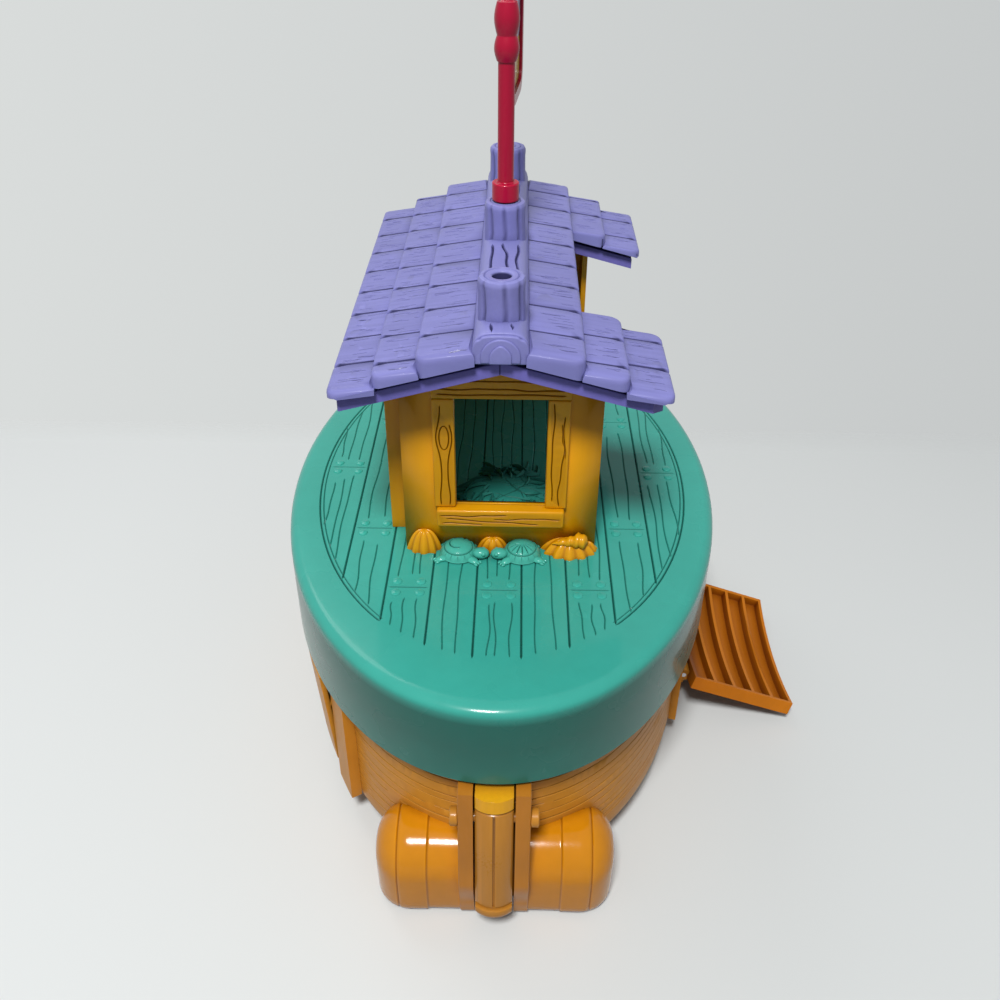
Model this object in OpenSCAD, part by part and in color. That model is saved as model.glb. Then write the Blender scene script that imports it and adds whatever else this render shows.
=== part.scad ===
// Toy ark of moulded plastic: planked oval hull, deck with a deep skirt, cabin, shingled roof and flag.
// Origin on the floor under the middle of the deck, +X to starboard, +Y to the bow, +Z up. Millimetres.

/* [Deck] */
// Width of the deck
deck_w = 233; // [219:1:247]
// Length of the deck
deck_l = 364; // [346:1:382]
// Height of the deck's top above the floor
deck_z = 140; // [136:1:148]
// Depth of the skirt, from the deck's top
skirt_h = 47; // [43:1:49]
// Thickness of the skirt
skirt_t = 3; // [2:0.25:3.5]
// Thickness of the deck plate
deck_t = 3; // [2:0.25:4]
// Radius of the deck's upper edge
deck_round = 5; // [4:0.25:7]
// Width of the planked field
field_w = 203; // [189:1:211]
// Length of the planked field
field_l = 302; // [286:1:320]
// Width of one deck plank
plank_w = 22; // [18:0.5:28]
// Width of a seam between planks
seam_w = 1.2; // [0.8:0.1:2]
// Depth of a seam between planks
seam_d = 0.8; // [0.4:0.1:1.4]
// Distance between the two side grooves
groove_pitch = 4; // [3:0.25:6]

/* [Hull] */
// Distance of the hull's side inside the deck's edge
hull_inset = 9; // [7.5:0.25:11]
// Thickness of the hull
hull_t = 3; // [2:0.25:4]
// Radius of the bilge
bilge_r = 22; // [16:0.5:24]
// Radius of the round foot that the hull stands on
foot_r = 70; // [60:1:80]
// Height of the round foot
foot_h = 0.5; // [0.4:0.1:1.2]
// Further inset of the hull's rim inside the skirt
rim_inset = 4; // [3:0.25:5]
// Gap between the rim and the deck plate
lid_gap = 0.3; // [0.2:0.05:0.6]
// Height of one strake
strake_h = 17; // [14:0.5:22]

/* [Side leaves] */
// Radius of the curved sides that the leaves follow
side_r = 268; // [250:1:290]
// Height of the hinge axes above the floor
hinge_z = 25.5; // [24:0.5:27]
// Radius of the hinge rods
rod_r = 1.5; // [1:0.1:1.8]
// Radius of the hinge knuckles
knuckle_r = 4; // [3:0.1:4.4]
// Length of the knuckle on each leaf
knuckle_l = 60; // [50:1:70]
// Length of the lug at each end of a knuckle
lug_l = 8; // [6:0.5:10]
// Thickness of a leaf
leaf_t = 8; // [6:0.25:9]
// Thickness of a leaf's outer skin
leaf_skin = 2.5; // [1.5:0.25:3.5]
// Thickness of a leaf's edge walls
leaf_wall = 2; // [1.5:0.25:4]
// Distance of the ramp's hinge axis inside the deck's edge
ramp_inset = 6.5; // [5.5:0.25:8]
// Width of the ramp
ramp_w = 97; // [90:1:104]
// Distance of the ramp's middle towards the bow
ramp_y = -4.8; // [-8:0.2:8]
// Height of the ramp above its hinge
ramp_h = 65.5; // [58:0.5:66]
// Angle of the lowered ramp from upright
ramp_open = 109; // [100:0.5:109.5]
// Number of tread ribs on the ramp
treads = 4; // [3:1:8]
// Width of a tread rib
tread_w = 2; // [1.5:0.25:4]
// Distance of the fold-down side's hinge axis inside the deck's edge
side_inset = 8.5; // [7:0.25:9]
// Width of the fold-down side
side_w = 224; // [200:1:228]
// Height of the fold-down side above its hinge
side_h = 62.5; // [54:0.5:63]
// Angle at which the fold-down side stands ajar
side_ajar = 4; // [2:0.5:10]
// Width of a door post
post_w = 16; // [10:0.5:20]
// Distance of the posts' faces inside the deck's edge
post_inset = 4.5; // [3:0.25:6]
// Least stand-out of the posts from the hull
post_least = 4; // [2:0.25:4]
// Thickness of a doorway's sill
door_sill_t = 3; // [2:0.25:4]
// Reach of a doorway's sill outside the hull
door_sill_out = 1.5; // [1:0.1:1.8]
// Gap round a leaf
leaf_gap = 1; // [0.6:0.1:2]

/* [Stern latch] */
// Width over the two cheeks
bracket_w = 33.4; // [31:0.1:38]
// Thickness of a cheek
cheek_t = 7; // [5:0.1:7]
// Reach of the bracket's top beyond the deck's edge
bracket_reach = 4; // [3:0.25:6]
// Rake of the bracket and lever from upright
rake = 7.6; // [5:0.2:9]
// Height of the cross pins
pin_z = 74; // [70:0.5:78]
// Radius of the cross pins
pin_r = 2.5; // [2:0.1:3]
// Radius of a pin head
pin_head_r = 4.5; // [3.5:0.1:5.5]
// Height of a pin head
pin_head_l = 3.8; // [2.5:0.1:5]
// Gap between the lever's cap and the top of the cheeks
lever_drop = 0.5; // [0.3:0.1:2]
// Length of the lever
lever_l = 76; // [68:0.5:77]
// Width of the lever
lever_w = 17.6; // [15:0.1:18]
// Depth of the lever from front to back
lever_d = 13; // [11:0.25:14]
// Travel of the lever's face at its pin ahead of the bracket's face
lever_out = 3; // [2:0.25:4]
// Length over the barrel ends
barrel_l = 117.5; // [104:0.5:128]
// Radius of the barrel
barrel_r = 22; // [20:0.5:25]
// Height of the barrel's axis
barrel_z = 27; // [25:0.5:31]
// Reach of the barrel beyond the hull's stern
barrel_reach = 15; // [9:0.5:19]
// Radius of the barrel's round ends
barrel_round = 17; // [9:0.5:19]

/* [Cabin] */
// Width of the cabin's front
cabin_w = 96; // [90:1:104]
// Depth of the front bay ahead of the wing
bay_d = 16; // [12:0.5:22]
// Distance of the cabin's front behind the middle of the deck
cabin_front_y = -69; // [-76:1:-62]
// Length of the cabin
cabin_l = 178; // [168:1:186]
// Reach of the left wing beyond the front's side
wing_out = 9; // [5:0.25:12]
// Thickness of the cabin walls
wall_t = 3; // [2:0.25:4]
// Width of the window
window_w = 44; // [38:0.5:50]
// Height of the window
window_h = 61; // [50:0.5:62]
// Height of the window above the deck
window_z = 27; // [26:0.5:34]
// Width of the window's jambs
jamb_w = 10.5; // [8:0.25:12]
// Thickness of the window's frame
jamb_t = 3; // [2:0.25:4]
// Height of the sill
sill_h = 10; // [7:0.5:13]
// Reach of the sill
sill_out = 6; // [4:0.5:9]

/* [Roof] */
// Width over the eaves
roof_w = 152; // [140:1:160]
// Length of the roof
roof_l = 233; // [216:1:246]
// Distance of the roof's middle towards the bow
roof_y = 20.5; // [14:0.5:26]
// Height of the eaves above the deck
eave_z = 104; // [100:0.5:108]
// Rise of the roof from the eaves to the ridge log
roof_rise = 21; // [17:0.5:25]
// Width of the upper course of shingles
course_1 = 24; // [20:0.5:27]
// Width of the middle course of shingles
course_2 = 19.5; // [16:0.5:23]
// Step between courses
course_step = 5.5; // [2:0.25:7]
// Thickness of the shingles at the eaves
shingle_t = 4.5; // [3.5:0.25:6]
// Length of one shingle along the eave
shingle_w = 27; // [20:0.5:34]
// Radius of the roof's corners
roof_round = 5; // [2:0.5:8]
// Length of the notch on the right slope
notch_l = 106; // [90:1:122]
// Distance of the notch's middle towards the bow
notch_y = 19; // [10:0.5:24]
// Inset of the lower lip
lip_inset = 4; // [3:0.25:6]
// Thickness of the lower lip
lip_t = 4; // [3:0.25:6]
// Gap between the shingles and the lower lip
lip_gap = 4.25; // [2.5:0.25:6]
// Depth of the ridge log's axis below the ridge
log_drop = 4; // [2:0.25:6]
// Width of the ridge log
log_w = 25; // [21:0.5:29]
// Radius of a stump
stump_r = 10.5; // [9:0.25:11.5]
// Height of the stumps above the deck
stump_z = 150; // [146:0.5:156]
// Distance between stumps
stump_pitch = 95; // [86:1:98]
// Depth of the pole holes
hole_d = 14; // [10:0.5:16]

/* [Flag] */
// Radius of the pole
pole_r = 4; // [3:0.1:5]
// Height of the pole's top above the deck
pole_top = 240; // [220:1:250]
// Radius of the pole's collar
collar_r = 6.7; // [5.8:0.1:8]
// Height of the pole's collar
collar_h = 9; // [6:0.5:12]
// Length of the flag from the pole's axis
flag_l = 54; // [44:1:70]
// Height of the flag
flag_h = 56; // [44:1:64]
// Thickness of the flag's rim
flag_t = 6; // [4:0.25:7]
// Width of the flag's rim
flag_rim = 5; // [3.5:0.25:6.5]
// Angle of the flag from the bow
flag_turn = 5; // [0:1:30]

/* [Hidden] */
$fn = 144;

TEAL = [0.22, 0.68, 0.60];
ORANGE = [0.79, 0.53, 0.17];
AMBER = [0.85, 0.55, 0.08];
PURPLE = [0.50, 0.46, 0.80];
RED = [0.78, 0.07, 0.25];
STEEL = [0.70, 0.70, 0.72];

run_gap = 0.06;
seat_gap = 0.3;
over = 1;
big = 2 * deck_l;

function arc(c, r, a0, a1, n = 10) =
  [for (i = [0:n]) c + r * [cos(a0 + (a1 - a0) * i / n), sin(a0 + (a1 - a0) * i / n)]];
function round_rect(w, h, r) =
  concat(arc([w - r, h - r], r, 0, 90), arc([r, h - r], r, 90, 180),
         arc([r, r], r, 180, 270), arc([w - r, r], r, 270, 360));

hull_w = deck_w - 2 * hull_inset;
hull_l = deck_l - 2 * hull_inset;
skirt_z = deck_z - skirt_h;
deck_under = deck_z - deck_t;
hull_top = deck_under - lid_gap;
rim_z = skirt_z + 1;
stern_y = -deck_l / 2;
bow_y = deck_l / 2;
hull_stern = stern_y + hull_inset;

// Angle on a side arc that reaches the distance y along the hull
function side_angle(y) = asin(y / (side_r - hull_inset));
leaf_foot = hinge_z + 2;
door_foot = hinge_z - knuckle_r - leaf_gap - door_sill_t;

channel_w = bracket_w - 2 * cheek_t;
web_y = hull_stern - 3;
bracket_top = skirt_z - 2;
bracket_front = stern_y - bracket_reach;
pin_y = bracket_front + 2;
channel_top = pin_z - 12;
bulge = 4;
lever_r = (pow(lever_w / 2, 2) + bulge * bulge) / (2 * bulge);
lever_top = bracket_top - lever_drop;
lever_foot_z = lever_top - lever_l * cos(rake);
lever_foot_y = bracket_front - lever_out - lever_l * sin(rake);
tongue_t = 2;
tongue_half = 6;
tongue_top = skirt_z + 16;

// The lever's back face at a height, along which the tongue stands
function lever_back(z) = bracket_front - lever_out - (lever_top - z) * tan(rake) + lever_d / cos(rake);
tongue_y = lever_back(lever_top);

roof_half = roof_w / 2;
ridge_extra = 2.5;
course_x = [log_w / 2, log_w / 2 + course_1, log_w / 2 + course_1 + course_2, roof_half];
ridge_z = deck_z + eave_z + roof_rise;
top_slope = (roof_rise - 2 * course_step) / (roof_half - course_x[0]);
apex_z = ridge_z + course_x[0] * top_slope;
under_apex = apex_z - shingle_t - ridge_extra;
under_slope = (under_apex - (deck_z + eave_z - shingle_t)) / roof_half;
lip_apex = under_apex - lip_gap;
ceil_apex = lip_apex - lip_t;
roof_y0 = roof_y - roof_l / 2;
roof_y1 = roof_y + roof_l / 2;
log_z = ridge_z - log_drop;
// Share of a shingle before the first seam of the upper, middle and lower course
first_seam = [0.78, 0.39, 0.93];

cabin_back_y = cabin_front_y + cabin_l;
left_x = -cabin_w / 2 - wing_out;
right_x = cabin_w / 2;
stump_top = deck_z + stump_z;
flag_top = deck_z + pole_top + 8;
flag_round = 12;
hem_h = [11, 14];
hem_t = 0.6;
panel_t = 2.5;

// Turns a profile of radius and height about the upright axis and draws it out into an oval
module turned(w, l) {
  scale([1, l / w, 1]) rotate_extrude() children();
}

module oval_block(w, l, z0, z1) {
  translate([0, 0, z0]) scale([1, l / w, 1]) cylinder(r = w / 2, h = z1 - z0);
}

// Sweeps a profile along the starboard side, X in the profile is the distance outside the deck's edge
module side_sweep(y0, y1) {
  a0 = side_angle(y0);
  translate([deck_w / 2 - side_r, 0, 0])
    rotate_extrude(angle = side_angle(y1) - a0, start = a0) translate([side_r, 0]) children();
}

module box(x, y, z) {
  translate([x[0], y[0], z[0]]) cube([x[1] - x[0], y[1] - y[0], z[1] - z[0]]);
}

// Turns a side view drawn in Y and Z into a slab across X
module slab(x0, x1) {
  translate([x0, 0, 0]) rotate([90, 0, 90]) linear_extrude(x1 - x0) children();
}

// Turns a front view drawn in X and Z into a prism along Y
module prism(y0, y1) {
  translate([0, y1, 0]) rotate([90, 0, 0]) linear_extrude(y1 - y0) children();
}

module cross_bar(r, x0, x1, y, z) {
  translate([x0, y, z]) rotate([0, 90, 0]) cylinder(r = r, h = x1 - x0);
}

module long_bar(r, y0, y1, x, z) {
  translate([x, y1, z]) rotate([90, 0, 0]) cylinder(r = r, h = y1 - y0);
}

module hull_block(z0, z1) {
  oval_block(hull_w, hull_l, z0, z1);
}

// Half of the hull's section with its bilge, a seam between strakes and the narrower rim
function hull_side() =
  let (r = hull_w / 2, n = floor((rim_z - bilge_r) / strake_h))
  concat(
    [[0, foot_h]],
    arc([r - bilge_r, bilge_r + foot_h], bilge_r, 270, 360, 6),
    [for (k = [1:n]) each let (z = bilge_r + (k - 0.2) * strake_h)
      [[r, z - seam_w / 2], [r - seam_d, z], [r, z + seam_w / 2]]],
    [[r, rim_z], [r - rim_inset, rim_z + rim_inset], [r - rim_inset, hull_top], [0, hull_top]]);

function hold_side() =
  let (r = hull_w / 2 - hull_t, b = bilge_r - hull_t, floor_z = foot_h + hull_t, t = hull_top + over)
  concat([[0, floor_z]], arc([r - b, floor_z + b], b, 270, 360, 6),
         [[r, rim_z], [r - rim_inset, rim_z + rim_inset], [r - rim_inset, t], [0, t]]);

module doorway(y, w, h) {
  half = w / 2 + leaf_gap;
  box([0, deck_w], [y - half, y + half], [door_foot, hinge_z + h + leaf_gap]);
}

module hull_shell() {
  slot = lever_w / 2 + leaf_gap;
  color(ORANGE)
    union() {
      difference() {
        turned(hull_w, hull_l) polygon(hull_side());
        turned(hull_w - 2 * hull_t, hull_l - 2 * hull_t) polygon(hold_side());
        doorway(ramp_y, ramp_w, ramp_h);
        mirror([1, 0, 0]) doorway(0, side_w, side_h);
        box([-slot, slot], [stern_y, hull_stern + 5 * hull_t], [lever_top - slot, tongue_top + slot]);
      }
      cylinder(r = foot_r, h = hull_t);
    }
}

// Part of an oval ring on the hull's starboard side, from the wall's inner face to its foot outside
module sill_strip(y0, y1) {
  intersection() {
    difference() {
      oval_block(hull_w + 2 * door_sill_out, hull_l + 2 * door_sill_out, door_foot, door_foot + door_sill_t);
      oval_block(hull_w - 2 * hull_t, hull_l - 2 * hull_t, 0, deck_z);
    }
    box([0, deck_w], [y0, y1], [0, deck_z]);
  }
}

// A door post on the starboard side: its face follows the leaf's arc, or the hull where that lies further out
module door_post(y0) {
  back = 2 * hull_inset + post_w;
  tall = bracket_top - door_foot;
  side_sweep(y0, y0 + post_w) translate([-back, door_foot]) square([back - post_inset, tall]);
  intersection() {
    side_sweep(y0, y0 + post_w) translate([-back, door_foot]) square([2 * back, tall]);
    oval_block(hull_w + 2 * post_least, hull_l + 2 * post_least, door_foot, bracket_top);
  }
}

// Posts, sill and hinge lugs round a doorway on the starboard side
module door_frame(y, w, inset) {
  half = w / 2 + leaf_gap;
  far = half + post_w;
  axis_x = deck_w / 2 - inset;
  lug_in = knuckle_l / 2 + seat_gap;
  sill_z = door_foot + door_sill_t;
  difference() {
    union() {
      difference() {
        union() {
          for (e = [y - far, y + half]) door_post(e);
          sill_strip(y - far + over, y + far - over);
        }
        hull_block(0, deck_z);
      }
      sill_strip(y - half, y + half);
      for (e = [y - lug_in - lug_l, y + lug_in]) {
        long_bar(knuckle_r, e, e + lug_l, axis_x, hinge_z);
        box([axis_x - 2 * knuckle_r, axis_x], [e, e + lug_l], [sill_z - over, hinge_z]);
      }
    }
    long_bar(rod_r, -big, big, axis_x, hinge_z);
  }
}

module hinge_rod(y, inset) {
  end = knuckle_l / 2 + seat_gap + lug_l;
  long_bar(rod_r, y - end, y + end, deck_w / 2 - inset, hinge_z);
}

module left_door_frame() {
  color(ORANGE) mirror([1, 0, 0]) door_frame(0, side_w, side_inset);
}

module right_door_frame() {
  color(ORANGE) door_frame(ramp_y, ramp_w, ramp_inset);
}

module left_hinge_rod() {
  color(STEEL) mirror([1, 0, 0]) hinge_rod(0, side_inset);
}

module right_hinge_rod() {
  color(STEEL) hinge_rod(ramp_y, ramp_inset);
}

// An upright leaf on the starboard side: skin, edge walls, ribs along it, the hinge knuckle and its lugs' notches.
// Its end walls are as thick as end says, and a negative end leaves the hollows open there
module leaf(y, w, h, inset, ribs, end) {
  half = w / 2;
  axis_x = deck_w / 2 - inset;
  x0 = -inset - leaf_t / 2;
  z0 = leaf_foot + leaf_wall;
  pitch = (hinge_z + h - z0) / (ribs + 1);
  difference() {
    union() {
      difference() {
        side_sweep(y - half, y + half) translate([x0, leaf_foot]) square([leaf_t, hinge_z + h - leaf_foot]);
        for (k = [0:ribs])
          side_sweep(y - half + end, y + half - end)
            translate([x0 - over, z0 + k * pitch]) square([leaf_t - leaf_skin + over, pitch - tread_w]);
        for (e = [-knuckle_l / 2 - 2 * seat_gap - lug_l, knuckle_l / 2])
          long_bar(knuckle_r + seat_gap, y + e, y + e + lug_l + 2 * seat_gap, axis_x, hinge_z);
      }
      long_bar(knuckle_r, y - knuckle_l / 2, y + knuckle_l / 2, axis_x, hinge_z);
    }
    long_bar(rod_r + run_gap, -big, big, axis_x, hinge_z);
  }
}

// Swings an upright starboard leaf outwards about its hinge
module swung(a, inset) {
  axis = [deck_w / 2 - inset, 0, hinge_z];
  translate(axis) rotate([0, a, 0]) translate(-axis) children();
}

module ramp_leaf() {
  color(ORANGE) swung(ramp_open, ramp_inset) leaf(ramp_y, ramp_w, ramp_h, ramp_inset, treads, leaf_wall);
}

module side_leaf() {
  color(ORANGE) mirror([1, 0, 0]) swung(side_ajar, side_inset) leaf(0, side_w, side_h, side_inset, 2, -over);
}

function cheek(foot) =
  let (f = bracket_front, t = bracket_top, mid = barrel_z + 8, back = hull_stern + bilge_r)
  concat([[f, t], [f - (t - mid) * tan(rake), mid]], foot, [[back, 0], [back, t]]);

module stern_bracket() {
  foot_round = 3;
  foot_y = hull_stern - barrel_reach - 1;
  half = channel_w / 2;
  color(ORANGE)
    difference() {
      slab(-bracket_w / 2, bracket_w / 2)
        polygon(cheek([[foot_y, barrel_z], [foot_y, foot_round], [foot_y + foot_round, 0]]));
      box([-half, half], [-big, web_y], [-over, big]);
      box([-half, half], [-big, 0], [channel_top, big]);
      hull_block(-over, bracket_top + over);
      cross_bar(pin_r, -big, big, pin_y, pin_z);
    }
}

// A barrel end: hooped and round above its axis, straight and plain below for the mould
module barrel_end() {
  x0 = bracket_w / 2;
  x1 = barrel_l / 2;
  hoop = (x1 - x0) * 0.37;
  step = 0.8;
  end = [barrel_r - barrel_round, x1 - barrel_round];
  staves = concat([[0, x0], [barrel_r - step, x0], [barrel_r - step, x0 + hoop], [barrel_r, x0 + hoop]],
                  arc(end, barrel_round, 0, 90, 8), [[0, x1]]);
  plain = concat([[0, x0], [barrel_r, x0]], arc(end, barrel_round, 0, 90, 8), [[0, x1]]);
  difference() {
    translate([0, hull_stern - barrel_reach + barrel_r, barrel_z])
      union() {
        rotate([0, 90, 0]) rotate_extrude(angle = 180, start = 90) polygon(staves);
        translate([0, 0, -barrel_z]) linear_extrude(barrel_z + step) rotate(-90) polygon(plain);
      }
    hull_block(-over, big);
  }
}

module stern_barrel_left() {
  color(AMBER) mirror([1, 0, 0]) barrel_end();
}

module stern_barrel_right() {
  color(AMBER) barrel_end();
}

module headed_pin(y) {
  half = bracket_w / 2;
  union() {
    cross_bar(pin_r, -half, half, y, pin_z);
    cross_bar(pin_head_r, half, half + pin_head_l, y, pin_z);
    cross_bar(pin_head_r, -half - pin_head_l, -half, y, pin_z);
  }
}

module latch_pin() {
  color(ORANGE) headed_pin(pin_y);
}

module deck_hinge_pin() {
  color(ORANGE) headed_pin(-pin_y);
}

// The lever stands on its foot with its round front towards -Y
module lever_bar() {
  cap_z = lever_l - 7;
  lip_z = 7;
  foot_r = 5;
  groove = 0.8;
  proud = 0.5;
  lip_r = lever_r + 1;
  side = concat(
    [[0, 0]],
    arc([lip_r - foot_r, foot_r], foot_r, -90, 0, 6),
    [[lip_r, lip_z], [lever_r - groove, lip_z + proud], [lever_r - groove, lip_z + 3 * proud],
     [lever_r, lip_z + 4 * proud], [lever_r, cap_z - 4 * proud], [lever_r - groove, cap_z - 3 * proud],
     [lever_r - groove, cap_z - proud], [lever_r + proud, cap_z], [lever_r + proud, lever_l],
     [0, lever_l]]);
  difference() {
    intersection() {
      translate([0, lever_r, 0]) rotate_extrude() polygon(side);
      box([-lever_w / 2, lever_w / 2], [-lever_r, lever_d], [0, lever_l]);
    }
    box([-seam_w / 2, seam_w / 2], [-lever_r, seam_w], [lip_z + 4 * proud, cap_z - 4 * proud]);
  }
}

module latch_lever() {
  color(ORANGE)
    difference() {
      translate([0, lever_foot_y, lever_foot_z]) rotate([-rake, 0, 0]) lever_bar();
      cross_bar(pin_r + run_gap, -big, big, pin_y, pin_z);
    }
}

// The arm behind the lever's cap and the tongue that stands inside the deck's skirt
module latch_hook() {
  arm_z = lever_top - 10;
  back = tongue_y + tongue_t;
  color(ORANGE)
    slab(-tongue_half, tongue_half)
      polygon([[lever_back(arm_z), arm_z], [back, arm_z], [back, tongue_top], [tongue_y, tongue_top],
               [tongue_y, lever_top]]);
}

// Leaf on the bracket's web that presses the lever's back outwards above its pin
module latch_spring() {
  t = 0.8;
  half = 4;
  free = 0.2;
  foot = channel_top - 18;
  bend = channel_top - 2;
  tip = pin_z + 4;
  tip_y = lever_back(tip) + free;
  color(STEEL)
    slab(-half, half)
      polygon([[web_y, foot], [web_y, bend], [tip_y + t, tip], [tip_y, tip], [web_y - t, bend],
               [web_y - t, foot]]);
}

module bow_bracket() {
  color(ORANGE)
    difference() {
      mirror([0, 1, 0])
        slab(-bracket_w / 2, bracket_w / 2) polygon(cheek([[hull_stern - bracket_reach, barrel_z]]));
      box([-channel_w / 2, channel_w / 2], [0, big], [-over, big]);
      box([-big, big], [-big, big], [-over, barrel_z]);
      hull_block(-over, big);
      cross_bar(pin_r, -big, big, -pin_y, pin_z);
    }
}

module hinge_lug() {
  r = pin_r + 3.5;
  w = channel_w / 2 - 0.5;
  web_top = skirt_z + 22;
  y0 = -pin_y - r;
  y1 = -pin_y + r;
  difference() {
    union() {
      slab(-w, w)
        polygon([[y0, pin_z], [y1, pin_z], [y1, skirt_z], [bow_y + 1, web_top], [bow_y - 1, web_top],
                 [bow_y - 1, skirt_z], [y0, skirt_z - 2]]);
      cross_bar(r, -w, w, -pin_y, pin_z);
    }
    cross_bar(pin_r + run_gap, -big, big, -pin_y, pin_z);
  }
}

module plank_seams() {
  n = floor(field_w / 2 / plank_w);
  intersection() {
    oval_block(field_w - 2 * groove_pitch, field_l - 2 * groove_pitch, deck_z - seam_d, deck_z + over);
    for (k = [-n:n - 1])
      let (x = (k + 0.5) * plank_w)
      box([x - seam_w / 2, x + seam_w / 2], [-big, big], [deck_z - seam_d, deck_z + over]);
  }
}

// Two grooves along each side of the planked field
module side_grooves() {
  reach = field_l * 0.4;
  intersection() {
    union()
      for (e = [0, groove_pitch])
        difference() {
          oval_block(field_w - e, field_l - e, deck_z - seam_d, deck_z + over);
          oval_block(field_w - e - seam_w, field_l - e - seam_w, 0, big);
        }
    box([-big, big], [-reach, reach], [0, big]);
  }
}

module deck_cap() {
  r = deck_w / 2;
  bowl = concat([[0, skirt_z], [r, skirt_z]],
                arc([r - deck_round, deck_z - deck_round], deck_round, 0, 90, 6), [[0, deck_z]]);
  color(TEAL)
    difference() {
      union() {
        difference() {
          turned(deck_w, deck_l) polygon(bowl);
          oval_block(deck_w - 2 * skirt_t, deck_l - 2 * skirt_t, 0, deck_under);
        }
        hinge_lug();
      }
      plank_seams();
      side_grooves();
    }
}

// The space under the roof, seen from the front
module gable(half) {
  polygon([[-half, deck_z], [half, deck_z], [half, ceil_apex - half * under_slope], [0, ceil_apex],
           [-half, ceil_apex - half * under_slope]]);
}

module cabin_front() {
  y0 = cabin_front_y;
  y1 = y0 + bay_d;
  half = cabin_w / 2;
  jamb = window_w / 2 + jamb_w;
  z0 = deck_z + window_z;
  z1 = z0 + window_h;
  color(AMBER)
    intersection() {
      prism(y0 - sill_out, y1 + wall_t) gable(-left_x);
      difference() {
        union() {
          box([-half, half], [y0, y0 + wall_t], [deck_z, big]);
          box([-half, wall_t - half], [y0, y1 + wall_t], [deck_z, big]);
          box([half - wall_t, half], [y0, y1 + wall_t], [deck_z, big]);
          box([left_x, wall_t - half], [y1, y1 + wall_t], [deck_z, big]);
          box([-jamb, jamb], [y0 - jamb_t, y0], [z0, big]);
          box([-jamb + 1, jamb - 1], [y0 - sill_out, y0], [z0 - sill_h, z0]);
        }
        box([-window_w / 2, window_w / 2], [-big, y0 + wall_t + over], [z0, z1]);
      }
    }
}

module cabin_left_wall() {
  y0 = cabin_front_y + bay_d + wall_t;
  color(AMBER)
    intersection() {
      prism(y0, cabin_back_y - wall_t) gable(-left_x);
      box([left_x, left_x + wall_t], [-big, big], [deck_z, big]);
    }
}

module cabin_back_wall() {
  color(AMBER)
    intersection() {
      prism(cabin_back_y - bay_d, cabin_back_y) gable(-left_x);
      union() {
        box([left_x, right_x], [cabin_back_y - wall_t, cabin_back_y], [deck_z, big]);
        box([right_x - wall_t, right_x], [cabin_back_y - bay_d, cabin_back_y], [deck_z, big]);
      }
    }
}

// A low dome of the given foot radius and height, standing on the deck
module dome(r, h) {
  ball = (r * r + h * h) / (2 * h);
  intersection() {
    translate([0, 0, h - ball]) sphere(ball);
    cylinder(r = r + over, h = h + over);
  }
}

module straw_bed() {
  bed_r = 26;
  bed_h = 7;
  color(TEAL) translate([4, cabin_front_y + wall_t + 1.65 * bed_r, deck_z]) dome(bed_r, bed_h);
}

// Keeps what stands on the deck in front of the cabin's wall
module before_wall() {
  intersection() {
    children();
    box([-big, big], [-big, cabin_front_y], [deck_z, big]);
  }
}

module turtle(x, side) {
  shell_r = 9.5;
  leg_reach = 8;
  leg_r = 3;
  color(TEAL)
    before_wall()
      translate([x, cabin_front_y - shell_r / 2, deck_z])
        union() {
          dome(shell_r, 7);
          translate([side * 11, -2, 0]) dome(4.2, 4);
          for (a = [145, 215, 325])
            translate([side * leg_reach * cos(a), leg_reach * sin(a), 0]) dome(leg_r, 2.4);
        }
}

module turtle_left() {
  turtle(-21, 1);
}

module turtle_right() {
  turtle(11, -1);
}

// Each shell: place across, radius of its ball, height of the ball's middle and its distance behind the wall
shell_list = [[-38.5, 8, 4, 3], [-4, 5.5, 1.5, 2], [34, 12, -1, 5]];

module shells() {
  color(AMBER)
    for (b = shell_list)
      before_wall() translate([b[0], cabin_front_y + b[3], deck_z + b[2]]) sphere(b[1]);
}

// The shingles' upper side from the ridge to the right eave
function course_line() =
  let (z0 = ridge_z, z1 = z0 - (course_x[1] - course_x[0]) * top_slope,
       z2 = z1 - course_step - (course_x[2] - course_x[1]) * top_slope,
       z3 = z2 - course_step - (course_x[3] - course_x[2]) * top_slope)
  [[0, apex_z], [course_x[1], z1], [course_x[1], z1 - course_step], [course_x[2], z2],
   [course_x[2], z2 - course_step], [course_x[3], z3]];

function slope_band(half, top, bottom) =
  [[0, top], [half, top - half * under_slope], [half, bottom - half * under_slope], [0, bottom],
   [-half, bottom - half * under_slope], [-half, top - half * under_slope]];

module notch(x, grow) {
  box([x, big], [notch_y - notch_l / 2 - grow, notch_y + notch_l / 2 + grow], [0, big]);
}

// Keeps a roof layer inside the rounded plan of the roof, a distance in from its edge
module roof_plan(e) {
  intersection() {
    children();
    translate([e - roof_half, roof_y0 + e, 0])
      linear_extrude(big) polygon(round_rect(roof_w - 2 * e, roof_l - 2 * e, roof_round));
  }
}

// Cuts between the shingles of one course on the right slope
module course_seams(i) {
  line = course_line();
  low = line[2 * i + 1];
  x0 = course_x[i] + seat_gap;
  z0 = low[1] + (low[0] - x0) * top_slope;
  start = roof_y0 + first_seam[i] * shingle_w;
  for (y = [start:shingle_w:roof_y1 - seam_w])
    prism(y - seam_w / 2, y + seam_w / 2)
      polygon([[x0, z0 - seam_d], [low[0] + over, low[1] - seam_d - over * top_slope],
               [low[0] + over, low[1] + over], [x0, z0 + over]]);
}

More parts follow.
